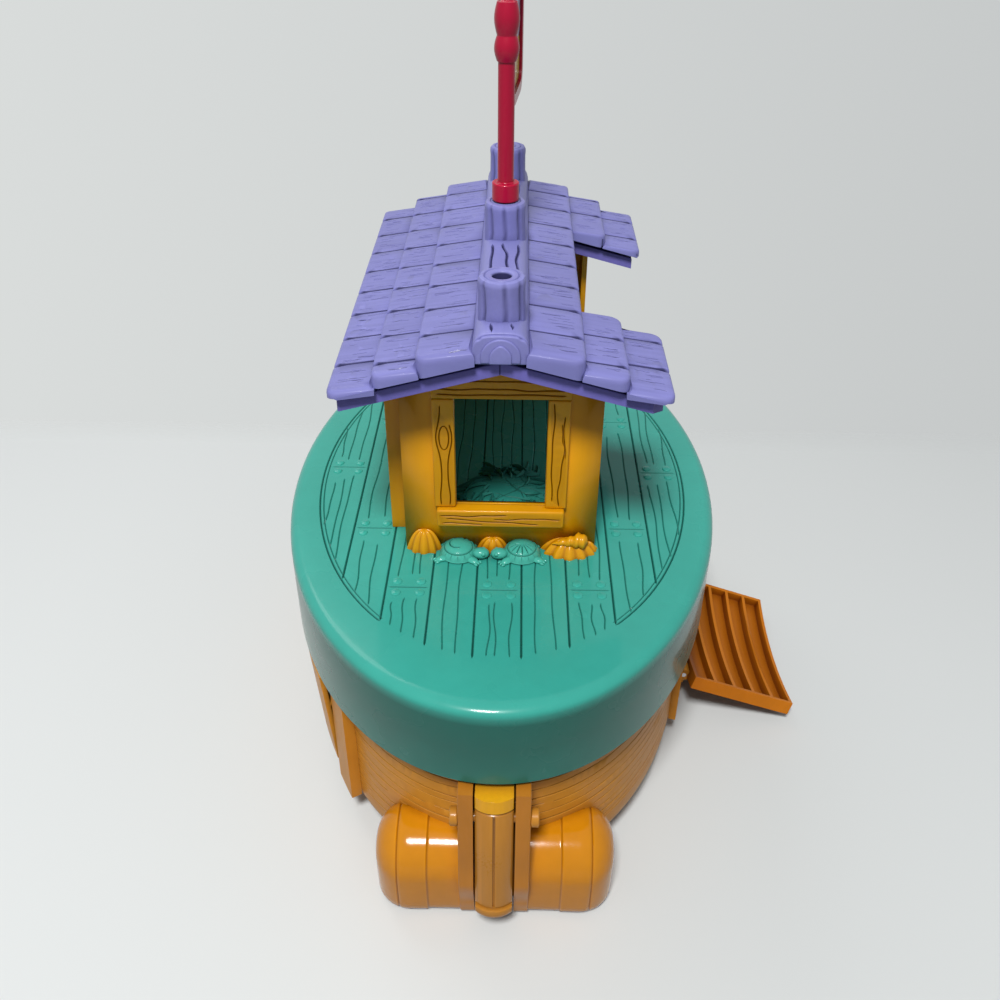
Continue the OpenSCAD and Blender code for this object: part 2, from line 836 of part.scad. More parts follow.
module roof_shingles() {
  line = course_line();
  eave = [roof_half, under_apex - roof_half * under_slope];
  color(PURPLE)
    difference() {
      roof_plan(0)
        prism(roof_y0, roof_y1)
          polygon(concat([[0, under_apex], eave], [for (i = [len(line) - 1:-1:0]) line[i]],
                         [for (i = [1:len(line) - 1]) [-line[i][0], line[i][1]]], [[-eave[0], eave[1]]]));
      notch(course_x[1] - 1, 0);
      for (i = [0:2]) {
        course_seams(i);
        mirror([1, 0, 0]) course_seams(i);
      }
    }
}

module roof_liner() {
  neck = lip_inset + 5;
  color(PURPLE)
    difference() {
      union() {
        prism(roof_y0 + neck, roof_y1 - neck)
          polygon(slope_band(roof_half - neck, under_apex, lip_apex - over));
        roof_plan(lip_inset)
          prism(roof_y0 + lip_inset, roof_y1 - lip_inset)
            polygon(slope_band(roof_half - lip_inset, lip_apex, ceil_apex));
      }
      notch(course_x[1] - 1, lip_inset);
    }
}

module ridge_log() {
  half = log_w / 2;
  y0 = roof_y0 + 1;
  y1 = roof_y1 - 1;
  color(PURPLE)
    difference() {
      union() {
        long_bar(half, y0, y1, 0, log_z);
        long_bar(half * 0.72, y0 - 1, y0, 0, log_z);
        long_bar(half * 0.42, y0 - 2, y0 - 1, 0, log_z);
        for (k = [-1:1])
          translate([0, roof_y + k * stump_pitch, log_z]) cylinder(r = stump_r, h = stump_top - log_z);
      }
      prism(roof_y0 - big, roof_y1 + big)
        polygon([[-big, 0], [big, 0], [big, apex_z - big * top_slope], [0, apex_z],
                 [-big, apex_z - big * top_slope]]);
      for (k = [-1, 0])
        translate([0, roof_y + k * stump_pitch, stump_top - hole_d])
          cylinder(r = pole_r + run_gap, h = big);
    }
}

module at_pole() {
  translate([0, roof_y, 0]) rotate([0, 0, -flag_turn]) children();
}

module flag_pole() {
  foot = stump_top - hole_d + seat_gap;
  color(RED)
    at_pole()
      union() {
        translate([0, 0, foot]) cylinder(r = pole_r, h = deck_z + pole_top - foot);
        translate([0, 0, stump_top + seat_gap]) cylinder(r = collar_r, h = collar_h);
      }
}

// A flag outline in length and height, a distance inside the rim's outer edge
module flag_face(e) {
  translate([pole_r - over + e, flag_top - flag_h + e])
    polygon(round_rect(flag_l - pole_r + over - 2 * e, flag_h - 2 * e, flag_round - e));
}

// A puffed hem round the pole
module hem(z0, z1) {
  n = 8;
  puff = 1.3;
  side = [for (i = [0:n]) [pole_r + hem_t + puff * sin(180 * i / n), z0 + (z1 - z0) * i / n]];
  rotate_extrude() polygon(concat([[0, z0]], side, [[0, z1]]));
}

module flag_frame() {
  top = deck_z + pole_top;
  color(RED)
    at_pole()
      difference() {
        union() {
          hem(top - hem_h[0] - hem_h[1], top - hem_h[1]);
          hem(top - hem_h[1], top);
          difference() {
            slab(-flag_t / 2, flag_t / 2) flag_face(0);
            slab(-flag_t, flag_t) flag_face(flag_rim);
          }
        }
        translate([0, 0, -big]) cylinder(r = pole_r, h = 2 * big);
      }
}

module flag_panel() {
  color(RED) at_pole() slab(-panel_t / 2, panel_t / 2) flag_face(flag_rim);
}

hull_shell();
left_door_frame();
right_door_frame();
left_hinge_rod();
right_hinge_rod();
stern_bracket();
stern_barrel_left();
stern_barrel_right();
latch_pin();
latch_spring();
latch_lever();
latch_hook();
bow_bracket();
deck_hinge_pin();
ramp_leaf();
side_leaf();
deck_cap();
cabin_front();
cabin_left_wall();
cabin_back_wall();
straw_bed();
turtle_left();
turtle_right();
shells();
roof_liner();
roof_shingles();
ridge_log();
flag_pole();
flag_frame();
flag_panel();
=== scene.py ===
"""Looks of a moulded toy ark. Lengths are in millimetres, in the part's own frame, unless noted."""
import math
import random

import bmesh
import bpy
import numpy as np
from mathutils import Matrix, Vector
from mathutils.geometry import delaunay_2d_cdt


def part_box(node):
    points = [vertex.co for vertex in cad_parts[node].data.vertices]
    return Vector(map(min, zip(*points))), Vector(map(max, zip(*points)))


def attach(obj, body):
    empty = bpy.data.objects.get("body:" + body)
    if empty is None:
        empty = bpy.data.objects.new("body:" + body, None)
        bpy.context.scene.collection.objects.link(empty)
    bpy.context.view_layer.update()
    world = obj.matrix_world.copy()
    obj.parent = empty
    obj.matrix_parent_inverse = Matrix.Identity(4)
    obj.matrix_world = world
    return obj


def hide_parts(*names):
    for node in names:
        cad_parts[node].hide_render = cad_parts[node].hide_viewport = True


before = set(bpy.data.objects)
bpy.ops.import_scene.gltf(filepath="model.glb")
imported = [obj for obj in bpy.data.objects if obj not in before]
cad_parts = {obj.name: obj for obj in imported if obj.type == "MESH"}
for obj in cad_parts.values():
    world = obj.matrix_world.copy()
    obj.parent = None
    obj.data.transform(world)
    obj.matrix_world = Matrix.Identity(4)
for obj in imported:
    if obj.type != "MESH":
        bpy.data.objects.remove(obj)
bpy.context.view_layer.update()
MM = 0.001
TURN = 2 * math.pi
rng = random.Random(11)


def box_mm(node):
    """Lowest and highest corner of a CAD node in millimetres."""
    return [np.array(corner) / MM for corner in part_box(node)]


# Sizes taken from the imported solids
SLACK = 0.01
DECK_LO, DECK_HI = box_mm("deck_cap")
HALF_W, HALF_L, DECK_Z = DECK_HI[0] - SLACK, -DECK_LO[1] - SLACK, DECK_HI[2]
HULL_R, HULL_L, HULL_TOP = box_mm("hull_shell")[1]
ROOF_LO, ROOF_HI = box_mm("roof_shingles")
ROOF_HALF, ROOF_Y0, ROOF_Y1 = ROOF_HI[0], ROOF_LO[1], ROOF_HI[1]
LOG_TOP = box_mm("ridge_log")[1][2]
WALL_LO, WALL_HI = box_mm("cabin_left_wall")
BACK_LO, BACK_HI = box_mm("cabin_back_wall")

# Sizes of the source that the boxes do not give
SKIRT_Z = DECK_Z - 47
SKIRT_T = 3
DECK_ROUND = 5
DECK_T = 3
PLANK = 22
FIELD = (100.0, 151.0)
WALL_T = 3
FRONT_Y = -69.0
BAY_D = 16
BAY_HALF = 48.0
WINDOW_HALF, WINDOW_Z0, WINDOW_Z1 = 22.0, DECK_Z + 27, DECK_Z + 88
JAMB_W = 10.5
TRIM_T, SILL_T = 3, 6
PIN_Y, PIN_Z = 184.0, 74.0
COURSE_X = (12.5, 36.5, 56.0, ROOF_HALF)
COURSE_STEP = 5.5
EAVE_Z = DECK_Z + 104
RIDGE_Z = EAVE_Z + 21
TOP_SLOPE = (RIDGE_Z - EAVE_Z - 2 * COURSE_STEP) / (ROOF_HALF - COURSE_X[0])
APEX = RIDGE_Z + COURSE_X[0] * TOP_SLOPE
SHINGLE_T, EAVE_T, LINER_T = 7, 4.5, 8.25
UNDER_Z = APEX - SHINGLE_T
UNDER_SLOPE = (UNDER_Z - EAVE_Z + EAVE_T) / ROOF_HALF
CEIL_Z = UNDER_Z - LINER_T
NOTCH_X, NOTCH_Y0, NOTCH_Y1 = 35.5, -34.0, 72.0
LOG_Z = RIDGE_Z - 4
STUMP_R = 10.5
STUMP_Y = (-74.5, 20.5, 115.5)
POLE_R, FLAG_LONG, FLAG_RIM, FLAG_HALF_T, FLAG_ANGLE = 4, 54, 5.0, 1.25, 5


# Materials


def linear(level):
    """A screen level from 0 to 255 as light."""
    level /= 255
    return level / 12.92 if level <= 0.04045 else ((level + 0.055) / 1.055) ** 2.4


def colour(red, green, blue):
    """A screen colour as the shader wants it."""
    return (linear(red), linear(green), linear(blue), 1.0)


def times(tint, factor):
    """A lighter or darker tint."""
    return tuple(min(1.0, c * factor) for c in tint[:3]) + (1.0,)


def plug(tree, socket, value):
    """Links an output to a socket, or sets the socket to a constant."""
    if isinstance(value, bpy.types.NodeSocket):
        tree.links.new(value, socket)
    else:
        socket.default_value = value


def math_node(tree, kind, a, b=0.0, clamp=False):
    made = tree.nodes.new("ShaderNodeMath")
    made.operation = kind
    made.use_clamp = clamp
    plug(tree, made.inputs[0], a)
    plug(tree, made.inputs[1], b)
    return made.outputs[0]


def mix(tree, factor, a, b):
    made = tree.nodes.new("ShaderNodeMix")
    made.data_type = "RGBA"
    for index, value in ((0, factor), (6, a), (7, b)):
        plug(tree, made.inputs[index], value)
    return made.outputs[2]


def ramp(tree, value, low, high, to_low=0.0, to_high=1.0):
    made = tree.nodes.new("ShaderNodeMapRange")
    for index, number in enumerate((value, low, high, to_low, to_high)):
        plug(tree, made.inputs[index], number)
    return made.outputs[0]


def noise(tree, place, scale, detail=3.0, stretch=None):
    if stretch:
        mapped = tree.nodes.new("ShaderNodeMapping")
        mapped.inputs["Scale"].default_value = stretch
        tree.links.new(place, mapped.inputs["Vector"])
        place = mapped.outputs[0]
    made = tree.nodes.new("ShaderNodeTexNoise")
    tree.links.new(place, made.inputs["Vector"])
    made.inputs["Scale"].default_value = scale
    made.inputs["Detail"].default_value = detail
    return made.outputs["Fac"]


def attribute(tree, name):
    made = tree.nodes.new("ShaderNodeAttribute")
    made.attribute_name = name
    return made.outputs["Fac"]


def part_of(tree, place, axis):
    """One coordinate of a place."""
    split = tree.nodes.new("ShaderNodeSeparateXYZ")
    tree.links.new(place, split.inputs[0])
    return split.outputs[axis]


BLOTCH, SPECK = 26.0, 900.0
GROOVE_DARK, TONE_DARK = 0.85, 0.16
SPECULAR, COAT_ROUGH, RELIEF = 0.2, 0.08, 0.0004
EVEN = (160.0, 160.0, 160.0)
ALONG_Y = (420.0, 22.0, 420.0)
ALONG_Z = (420.0, 420.0, 24.0)
ROUND_HULL = (36.0, 36.0, 420.0)
DOWN_ROOF = (26.0, 420.0, 60.0)


def plastic(name, base, deep, rough=0.4, grain=EVEN, grain_mix=0.25, bump=0.2, coat=0.0, hollow_shade=0.6, wear=0.2,
            reach=0.007, lower=None):
    """Moulded plastic: mottled colour, stretched grain, painted shade in grooves and corners, pale worn
    edges, fine bump.

    base and deep are screen colours. lower is a third one, with the heights in metres
    where it starts and where it is full; on the deck's skirt it is painted shade.
    """
    base, deep = colour(*base), colour(*deep)
    made = bpy.data.materials.new(name)
    made.use_nodes = True
    tree = made.node_tree
    shader = tree.nodes["Principled BSDF"]
    place = tree.nodes.new("ShaderNodeTexCoord").outputs["Object"]
    blotch = noise(tree, place, BLOTCH)
    speck = noise(tree, place, SPECK, 2.0)
    streak = noise(tree, place, 1.0, 4.0, grain)
    tone = ramp(tree, attribute(tree, "tone"), -1.0, 1.0)
    shade = mix(tree, blotch, times(base, 0.93), times(base, 1.07))
    # Colour by height: on the deck's skirt this is painted shade.
    if lower:
        tint, start, end = lower
        shade = mix(tree, ramp(tree, part_of(tree, place, "Z"), start, end), shade, colour(*tint))
    shade = mix(tree, ramp(tree, streak, 0.35, 0.7, 0.0, grain_mix), shade, deep)
    shade = mix(tree, ramp(tree, tone, 0.0, 1.0, 0.0, TONE_DARK), shade, times(base, 0.6))
    # Painted shade: the colour darkens towards deep where the ambient occlusion finds hollows and corners.
    hollow = tree.nodes.new("ShaderNodeAmbientOcclusion")
    hollow.samples = 6
    hollow.inputs["Distance"].default_value = reach
    shade = mix(tree, ramp(tree, hollow.outputs["AO"], 0.2, 0.85, hollow_shade, 0.0), shade, deep)
    # Painted shade and dirt: grooves are darkened towards deep by how deep they are.
    shade = mix(tree, ramp(tree, attribute(tree, "groove"), 0.05, 1.0, 0.0, GROOVE_DARK), shade, deep)
    edge = ramp(tree, tree.nodes.new("ShaderNodeNewGeometry").outputs["Pointiness"], 0.515, 0.57)
    rubbed = math_node(tree, "MULTIPLY", edge, ramp(tree, blotch, 0.4, 0.65, wear, wear * 2))
    shade = mix(tree, rubbed, shade, times(base, 1.6))
    plug(tree, shader.inputs["Base Color"], shade)
    fine = min(bump, 0.1)
    gloss = math_node(tree, "ADD", ramp(tree, blotch, 0.3, 0.7, rough - 0.04, rough + 0.05),
                      ramp(tree, speck, 0.3, 0.7, -0.2 * fine, 0.3 * fine), True)
    plug(tree, shader.inputs["Roughness"], gloss)
    shader.inputs["Specular IOR Level"].default_value = SPECULAR
    shader.inputs["Coat Weight"].default_value = coat
    shader.inputs["Coat Roughness"].default_value = COAT_ROUGH
    relief = tree.nodes.new("ShaderNodeBump")
    relief.inputs["Strength"].default_value = bump
    relief.inputs["Distance"].default_value = RELIEF
    height = math_node(tree, "ADD", streak, math_node(tree, "MULTIPLY", speck, 0.15))
    tree.links.new(height, relief.inputs["Height"])
    tree.links.new(relief.outputs[0], shader.inputs["Normal"])
    return made


# Each has its screen colour, its colour in grooves and hollows, the roughness, the grain and the grain's
# share, then bump, coat, the painted shade in hollows, wear and the reach of that painted shade in metres
# The deck's skirt below its top turns a darker teal: painted shade.
TEAL = plastic("deck_teal", (60, 172, 156), (10, 62, 54), 0.26, EVEN, 0.04, 0.0, 0.3, 0.45, 0.1,
               lower=((12, 96, 84), 0.1375, 0.131))
TAN = plastic("hull_tan", (216, 146, 48), (84, 40, 4), 0.4, ROUND_HULL, 0.1, 0.12, 0.05)
POST = plastic("post_tan", (212, 142, 48), (92, 44, 6), 0.4, ALONG_Z, 0.1, 0.1, 0.05)
LEVER = plastic("lever_tan", (196, 132, 46), (88, 44, 6), 0.34, ALONG_Z, 0.08, 0.08, 0.1)
TILT = plastic("latch_tan", (196, 132, 46), (88, 44, 6), 0.3, ALONG_Z, 0.08, 0.08, 0.15,
               lower=((250, 182, 16), 0.0826, 0.0836))
BRACKET = plastic("bracket_tan", (182, 116, 34), (84, 40, 4), 0.32, ALONG_Z, 0.08, 0.06, 0.15,
                  lower=((214, 136, 18), 0.05, 0.02))
BARREL = plastic("barrel_amber", (218, 140, 16), (104, 48, 0), 0.16, EVEN, 0.06, 0.12, 0.2)
CABIN = plastic("cabin_amber", (216, 146, 8), (80, 36, 0), 0.32, ALONG_Z, 0.06, 0.06, 0.15)
# The ramp's pockets are darkened strongly and far: painted shade.
RAMP = plastic("ramp_amber", (206, 120, 18), (88, 26, 0), 0.4, ALONG_Y, 0.1, 0.1, 0.05, 0.95, 0.2, 0.02)
PURPLE = plastic("roof_purple", (138, 138, 204), (18, 16, 60), 0.4, DOWN_ROOF, 0.16, 0.24, 0.05, 0.7, 0.05)
LOG = plastic("log_purple", (140, 140, 204), (22, 20, 66), 0.38, ALONG_Y, 0.06, 0.08, 0.05, 0.6, 0.1)
# The lip is the roof's purple made darker, and darkened strongly in its hollows: painted shade under the
# roof.
LINER = plastic("liner_purple", (112, 106, 180), (22, 20, 64), 0.42, ALONG_Y, 0.12, 0.1, 0.0, 0.9, 0.2, 0.014)
RED = plastic("flag_red", (184, 8, 54), (84, 2, 24), 0.3, ALONG_Z, 0.08, 0.06, 0.2)
STICKER = plastic("flag_lilac", (214, 200, 232), (120, 100, 150), 0.3, EVEN, 0.08, 0.04, 0.2)
SUN = plastic("flag_yellow", (236, 190, 40), (150, 96, 8), 0.3, EVEN, 0.08, 0.04, 0.2)
STEEL = plastic("steel", (178, 178, 182), (60, 60, 64), 0.3, ALONG_Y, 0.15, 0.1)
STEEL.node_tree.nodes["Principled BSDF"].inputs["Metallic"].default_value = 1.0
SHELL = plastic("shell_amber", (230, 160, 14), (140, 68, 0), 0.3, EVEN, 0.06, 0.05, 0.2, 0.6)
TURTLE = plastic("turtle_teal", (72, 176, 158), (18, 84, 74), 0.3, EVEN, 0.06, 0.06, 0.25, 0.7)
# The straw is the deck's teal made darker: painted shade inside the cabin.
STRAW = plastic("straw_teal_shaded", (48, 146, 132), (10, 58, 50), 0.52, EVEN, 0.06, 0.06, 0.0, 0.8, 0.0)


# Lines and outlines


def arc(middle, radius, start, end, steps):
    """Points of an arc in degrees."""
    turn = np.radians(np.linspace(start, end, steps + 1))
    return np.column_stack([middle[0] + radius * np.cos(turn), middle[1] + radius * np.sin(turn)])


def oval(radius, stretch, count):
    turn = np.arange(count) * TURN / count
    return np.column_stack([radius * np.cos(turn), radius * stretch * np.sin(turn)])


def loop(middle, radii, count):
    """A closed oval line."""
    turn = np.linspace(0, TURN, count)
    return np.column_stack([middle[0] + radii[0] * np.cos(turn), middle[1] + radii[1] * np.sin(turn)])


def polar(radius, shares, step):
    """Points on circles at shares of a radius, some degrees apart."""
    turn = np.radians(np.arange(0, 360, step))
    return [(s * radius * math.cos(a), s * radius * math.sin(a)) for s in shares for a in turn]


def square(u0, u1, v0, v1):
    """A rectangle, anticlockwise."""
    return np.array([(u0, v0), (u1, v0), (u1, v1), (u0, v1)])


def rounded(u0, u1, v0, v1, radius, steps=4):
    """A rectangle with round corners, anticlockwise."""
    corners = ((u1, v0, -90), (u1, v1, 0), (u0, v1, 90), (u0, v0, 180))
    middle = [(u - math.copysign(radius, u - u0 - 1e-9), v - math.copysign(radius, v - v0 - 1e-9))
              for u, v, _ in corners]
    return np.concatenate([arc(m, radius, c[2], c[2] + 90, steps) for m, c in zip(middle, corners)])


def border(us, vs):
    """The border of a grid, anticlockwise."""
    return np.concatenate([[(u, vs[0]) for u in us], [(us[-1], v) for v in vs[1:-1]],
                           [(u, vs[-1]) for u in us[::-1]], [(us[0], v) for v in vs[-2:0:-1]]])


def straight(a, b, count=10):
    return np.linspace(a, b, count)


def wavy(a, b, sway, waves, count=18):
    """A line from a to b that wanders sideways like wood grain."""
    a, b = np.array(a, float), np.array(b, float)
    t = np.linspace(0, 1, count)
    along = (b - a) / np.linalg.norm(b - a)
    slow = np.sin(TURN * (waves * t + rng.random()))
    quick = np.sin(TURN * (2.3 * waves * t + rng.random()))
    swing = 0.65 * slow + 0.35 * quick
    return a + (b - a) * t[:, None] + np.array([-along[1], along[0]]) * (sway * swing)[:, None]


def length_along(path):
    """The way gone at each point of a path."""
    return np.concatenate([[0], np.cumsum(np.linalg.norm(np.diff(path, axis=0), axis=1))])


# Carving: a flat outline is cut into triangles round V grooves, and then laid on any surface

RUN_OUT = 1.6


def is_shut(path):
    return np.linalg.norm(path[0] - path[-1]) < 1e-6


def fullness(path, width):
    """How much of its width and depth a groove has along its path: an open one runs out at both ends."""
    run = length_along(path)
    if is_shut(path):
        return np.ones(len(run))
    return np.clip(np.minimum(run, run[-1] - run) / (RUN_OUT * width), 0, 1)


def tipped(path, width):
    """The path with a point close to each end, so that its groove runs out there and not before."""
    if is_shut(path):
        return path
    first, last = path[1] - path[0], path[-2] - path[-1]
    reach = RUN_OUT * width
    a, b = np.linalg.norm(first), np.linalg.norm(last)
    head = [path[0] + first * reach / a] if a > reach else []
    tail = [path[-1] + last * reach / b] if b > reach else []
    return np.array([path[0], *head, *path[1:-1], *tail, path[-1]])


def flanks(path, width):
    """The two upper edges of a groove."""
    along = np.gradient(path, axis=0)
    if is_shut(path):
        along[0] = along[-1] = path[1] - path[-2]
    along /= np.maximum(np.linalg.norm(along, axis=1), 1e-9)[:, None]
    side = np.column_stack([-along[:, 1], along[:, 0]]) * (fullness(path, width) * width / 2)[:, None]
    return path + side, path - side


def groove_depth(points, grooves):
    depth = np.zeros(len(points))
    for path, width, deep in grooves:
        part = fullness(path, width)
        low, high = path.min(0) - width, path.max(0) + width
        near = np.where(np.all((points >= low) & (points <= high), axis=1))[0]
        if not len(near):
            continue
        spot = points[near]
        best = np.zeros(len(near))
        for i in range(len(path) - 1):
            span = path[i + 1] - path[i]
            t = np.clip((spot - path[i]) @ span / max(span @ span, 1e-9), 0, 1)
            away = np.linalg.norm(spot - path[i] - t[:, None] * span, axis=1)
            much = part[i] + t * (part[i + 1] - part[i])
            slope = np.clip(1 - away / np.maximum(width / 2 * much, 1e-6), 0, 1)
            best = np.maximum(best, deep * much * slope)
        depth[near] = np.maximum(depth[near], best)
    return depth


def inside(points, outline):
    """Even-odd test of points in an outline."""
    hit = np.zeros(len(points), bool)
    last = outline[-1]
    for corner in outline:
        cross = (corner[1] > points[:, 1]) != (last[1] > points[:, 1])
        rise = last[1] - corner[1]
        if rise:
            edge = (last[0] - corner[0]) * (points[:, 1] - corner[1]) / rise + corner[0]
            hit ^= cross & (points[:, 0] < edge)
        last = corner
    return hit


def carve(outline, grooves=(), holes=(), extra=()):
    """Points, depths and triangles of an outline with grooves cut into it."""
    spots, edges = [], []
    grooves = [(tipped(path, width), width, deep) for path, width, deep in grooves]

    def line(points, shut):
        first, count = len(spots), len(points)
        spots.extend(Vector((float(p[0]), float(p[1]))) for p in points)
        edges.extend((first + i, first + (i + 1) % count) for i in range(count if shut else count - 1))

    line(outline, True)
    for hole in holes:
        line(hole, True)
    for path, width, _ in grooves:
        left, right = flanks(path, width)
        for points in (left, path, right):
            line(points, False)
    spots.extend(Vector((float(p[0]), float(p[1]))) for p in extra)
    found = delaunay_2d_cdt(spots, edges, [], 0, 1e-4, False)
    points = np.array([tuple(p) for p in found[0]])
    faces = np.array(list(found[2]))
    middle = points[faces].mean(axis=1)
    keep = inside(middle, outline)
    for hole in holes:
        keep &= ~inside(middle, hole)
    return points, groove_depth(points, grooves), faces[keep]


def inset(outline, amount):
    """The outline moved inwards, by one distance or by one each way for a box-like outline."""
    if isinstance(amount, tuple):
        low, high = outline.min(0), outline.max(0)
        middle, half = (low + high) / 2, (high - low) / 2
        return middle + (outline - middle) * (1 - np.array(amount) / half)
    step = np.roll(outline, -1, axis=0) - outline
    step /= np.maximum(np.linalg.norm(step, axis=1), 1e-9)[:, None]
    normal = np.column_stack([-step[:, 1], step[:, 0]])
    before = np.roll(normal, 1, axis=0)
    return outline + amount * (normal + before) / (1 + np.sum(normal * before, axis=1))[:, None]


class Form:
    """Gathers the points and faces of one piece, with the groove and tone of each point."""

    def __init__(self):
        self.points, self.faces, self.groove, self.tone = [], [], [], []
        self.shade = 0.0

    def add(self, points, faces, groove=None):
        first = len(self.points)
        self.points.extend(np.asarray(points, float))
        self.faces.extend(tuple(first + int(i) for i in face) for face in faces)
        self.groove.extend(np.zeros(len(points)) if groove is None else groove)
        self.tone.extend([self.shade] * len(points))

    def rings(self, rings, shut=True, caps=(False, False), groove=None):
        """A skin over rings of points, with a cap at the first and the last one if wanted."""
        count = len(rings[0])
        faces = []
        for k in range(len(rings) - 1):
            for i in range(count if shut else count - 1):
                j = (i + 1) % count
                faces.append((k * count + i, k * count + j, (k + 1) * count + j, (k + 1) * count + i))
        if caps[0]:
            faces.append(tuple(range(count - 1, -1, -1)))
        if caps[1]:
            faces.append(tuple((len(rings) - 1) * count + i for i in range(count)))
        self.add(np.concatenate(rings), faces, groove)

    def sheet(self, outline, place, grooves=(), holes=(), extra=(), black=0.7):
        """A carved surface. A groove as deep as black is fully dark."""
        flat, depth, faces = carve(outline, grooves, holes, extra)
        self.add(place(flat[:, 0], flat[:, 1], -depth), faces, np.clip(depth / black, 0, 1))

    def slab(self, outline, place, thick, bevel, grooves=(), drop=None, dark=None, black=0.7, extra=()):
        """A plate with a carved face and rounded edges; thick is a number or a function of the place.

        dark gives how dark each point of the outline is painted on the edge, as painted shade at seams."""
        drop = drop or bevel
        dark = np.zeros(len(outline)) if dark is None else dark
        steps = 3
        rings = []
        for k in range(steps + 1):
            turn = math.pi / 2 * k / steps
            share = 1 - math.sin(turn)
            amount = tuple(b * share for b in bevel) if isinstance(bevel, tuple) else bevel * share
            edge = inset(outline, amount)
            rings.append(place(edge[:, 0], edge[:, 1], np.full(len(edge), -drop * (1 - math.cos(turn)))))
        low = thick(outline[:, 0], outline[:, 1]) if callable(thick) else np.full(len(outline), float(thick))
        rings.append(place(outline[:, 0], outline[:, 1], -low))
        shades = [dark * min(1, (k + 0.6) / 1.6) for k in range(len(rings))]
        self.rings(rings, caps=(False, True), groove=np.concatenate(shades))
        self.sheet(inset(outline, bevel), place, grooves, (), extra, black)

    def ball(self, middle, radii, axes=None, rows=8, count=16):
        """A rounded body, upright or along other axes."""
        axes = np.eye(3) if axes is None else np.asarray(axes)
        turn = np.arange(count) * TURN / count
        rings = []
        for k in range(rows + 1):
            up = math.pi * (k / rows - 0.5)
            wide = max(math.cos(up), 1e-3)
            local = np.column_stack([radii[0] * wide * np.cos(turn), radii[1] * wide * np.sin(turn),
                                     np.full(count, radii[2] * math.sin(up))])
            rings.append(np.asarray(middle) + local @ axes)
        self.rings(rings, caps=(True, True))

    def lathe(self, profile, middle, count=40, shape=None, dark=None):
        """Turns radius and height about an upright line; dark tells how dark a radius and height are painted,
        as painted shade.
        """
        turn = np.arange(count) * TURN / count
        rings, groove = [], []
        for radius, height in profile:
            wide = shape(radius, height, turn) if shape else np.full(count, radius)
            rings.append(np.column_stack([middle[0] + wide * np.cos(turn), middle[1] + wide * np.sin(turn),
                                          np.full(count, height)]))
            # Painted shade: flutes are darkened by how deep they cut.
            cut = np.clip((radius - wide) / 1.4, 0, 1)
            groove.append(np.maximum(cut, dark(radius, height) if dark else 0.0))
        self.rings(rings, caps=(True, True), groove=np.concatenate(groove))

    def bar(self, side, section, low, high, groove=None):
        """A bar along the roof with one section, on the left or on the right."""
        rings = [np.array([(side * x, y, z) for x, z in section]) for y in (low, high)]
        self.rings(rings, caps=(True, True), groove=groove)

    def piece(self, name, material, body, slot, nodes=(), sharp=32, solid=0.0, clip=None):
        """Makes the object. solid thickens an open sheet inwards; clip changes the points last of all."""
        points = np.array(self.points)
        if clip:
            points = clip(points)
        work = bmesh.new()
        groove = work.verts.layers.float.new("groove")
        tone = work.verts.layers.float.new("tone")
        verts = []
        for p, g, t in zip(points, self.groove, self.tone):
            v = work.verts.new(Vector(p) * MM)
            v[groove], v[tone] = float(g), float(t)
            verts.append(v)
        for face in self.faces:
            corners = [verts[i] for i in face]
            if len(set(face)) > 2:
                try:
                    work.faces.new(corners)
                except ValueError:
                    continue
        bmesh.ops.remove_doubles(work, verts=work.verts, dist=2e-6)
        bmesh.ops.dissolve_degenerate(work, edges=work.edges, dist=1e-6)
        bmesh.ops.recalc_face_normals(work, faces=work.faces)
        mesh = bpy.data.meshes.new(name)
        work.to_mesh(mesh)
        work.free()
        return dress(mesh, name, material, body, slot, nodes, sharp, solid)


def dress(mesh, name, material, body, slot, nodes=(), sharp=32, solid=0.0):
    """Makes an object of a mesh, gives it its material and body, and hides the nodes that it stands for. slot
    is not used.
    """
    mesh.shade_smooth()
    mesh.set_sharp_from_angle(angle=math.radians(sharp))
    made = bpy.data.objects.new(name, mesh)
    bpy.context.scene.collection.objects.link(made)
    mesh.materials.clear()
    mesh.materials.append(material)
    if solid:
        thick = made.modifiers.new("thick", "SOLIDIFY")
        thick.thickness = solid * MM
        thick.offset = -1.0
    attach(made, body)
    if nodes:
        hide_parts(*nodes)
    return made


def softened(node, material, body, slot, width):
    """A copy of a CAD node's mesh with rounded edges, standing for the node."""
    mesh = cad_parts[node].data.copy()
    mesh.name = node + "_soft"
    work = bmesh.new()
    work.from_mesh(mesh)
    bmesh.ops.remove_doubles(work, verts=work.verts, dist=2e-6)
    bmesh.ops.dissolve_limit(work, angle_limit=math.radians(0.4), verts=work.verts, edges=work.edges)
    work.normal_update()
    mesh.clear_geometry()
    work.to_mesh(mesh)
    work.free()
    made = dress(mesh, node + "_soft", material, body, slot, (node,), 38)
    edge = made.modifiers.new("edges", "BEVEL")
    edge.width = width * MM
    edge.segments = 2
    edge.limit_method = "ANGLE"
    edge.angle_limit = math.radians(34)
    edge.use_clamp_overlap = True
    return made


def mark_hollows(made):
    """Marks the floors of a ribbed leaf's hollows as grooves, so that they are painted dark as painted shade.
    The ribs stand on the side that looks up.
    """
    mesh = made.data
    areas = {}
    for face in mesh.polygons:
        if face.normal.z > 0.1:
            key = tuple(round(c, 2) for c in face.normal)
            areas[key] = areas.get(key, 0.0) + face.area
    out = np.array(max(areas, key=areas.get))
    spots = np.array([vertex.co for vertex in mesh.vertices]) @ out
    depth = (spots.max() - spots) / MM
    low = [depth[face.vertices[0]] for face in mesh.polygons if np.dot(face.normal, out) > 0.99]
    floor = np.median([d for d in low if d > 1])
    layer = mesh.attributes.new("groove", "FLOAT", "POINT")
    for item, d in zip(layer.data, depth):
        item.value = min(1.0, d / floor) if d < floor + 0.4 else 0.0


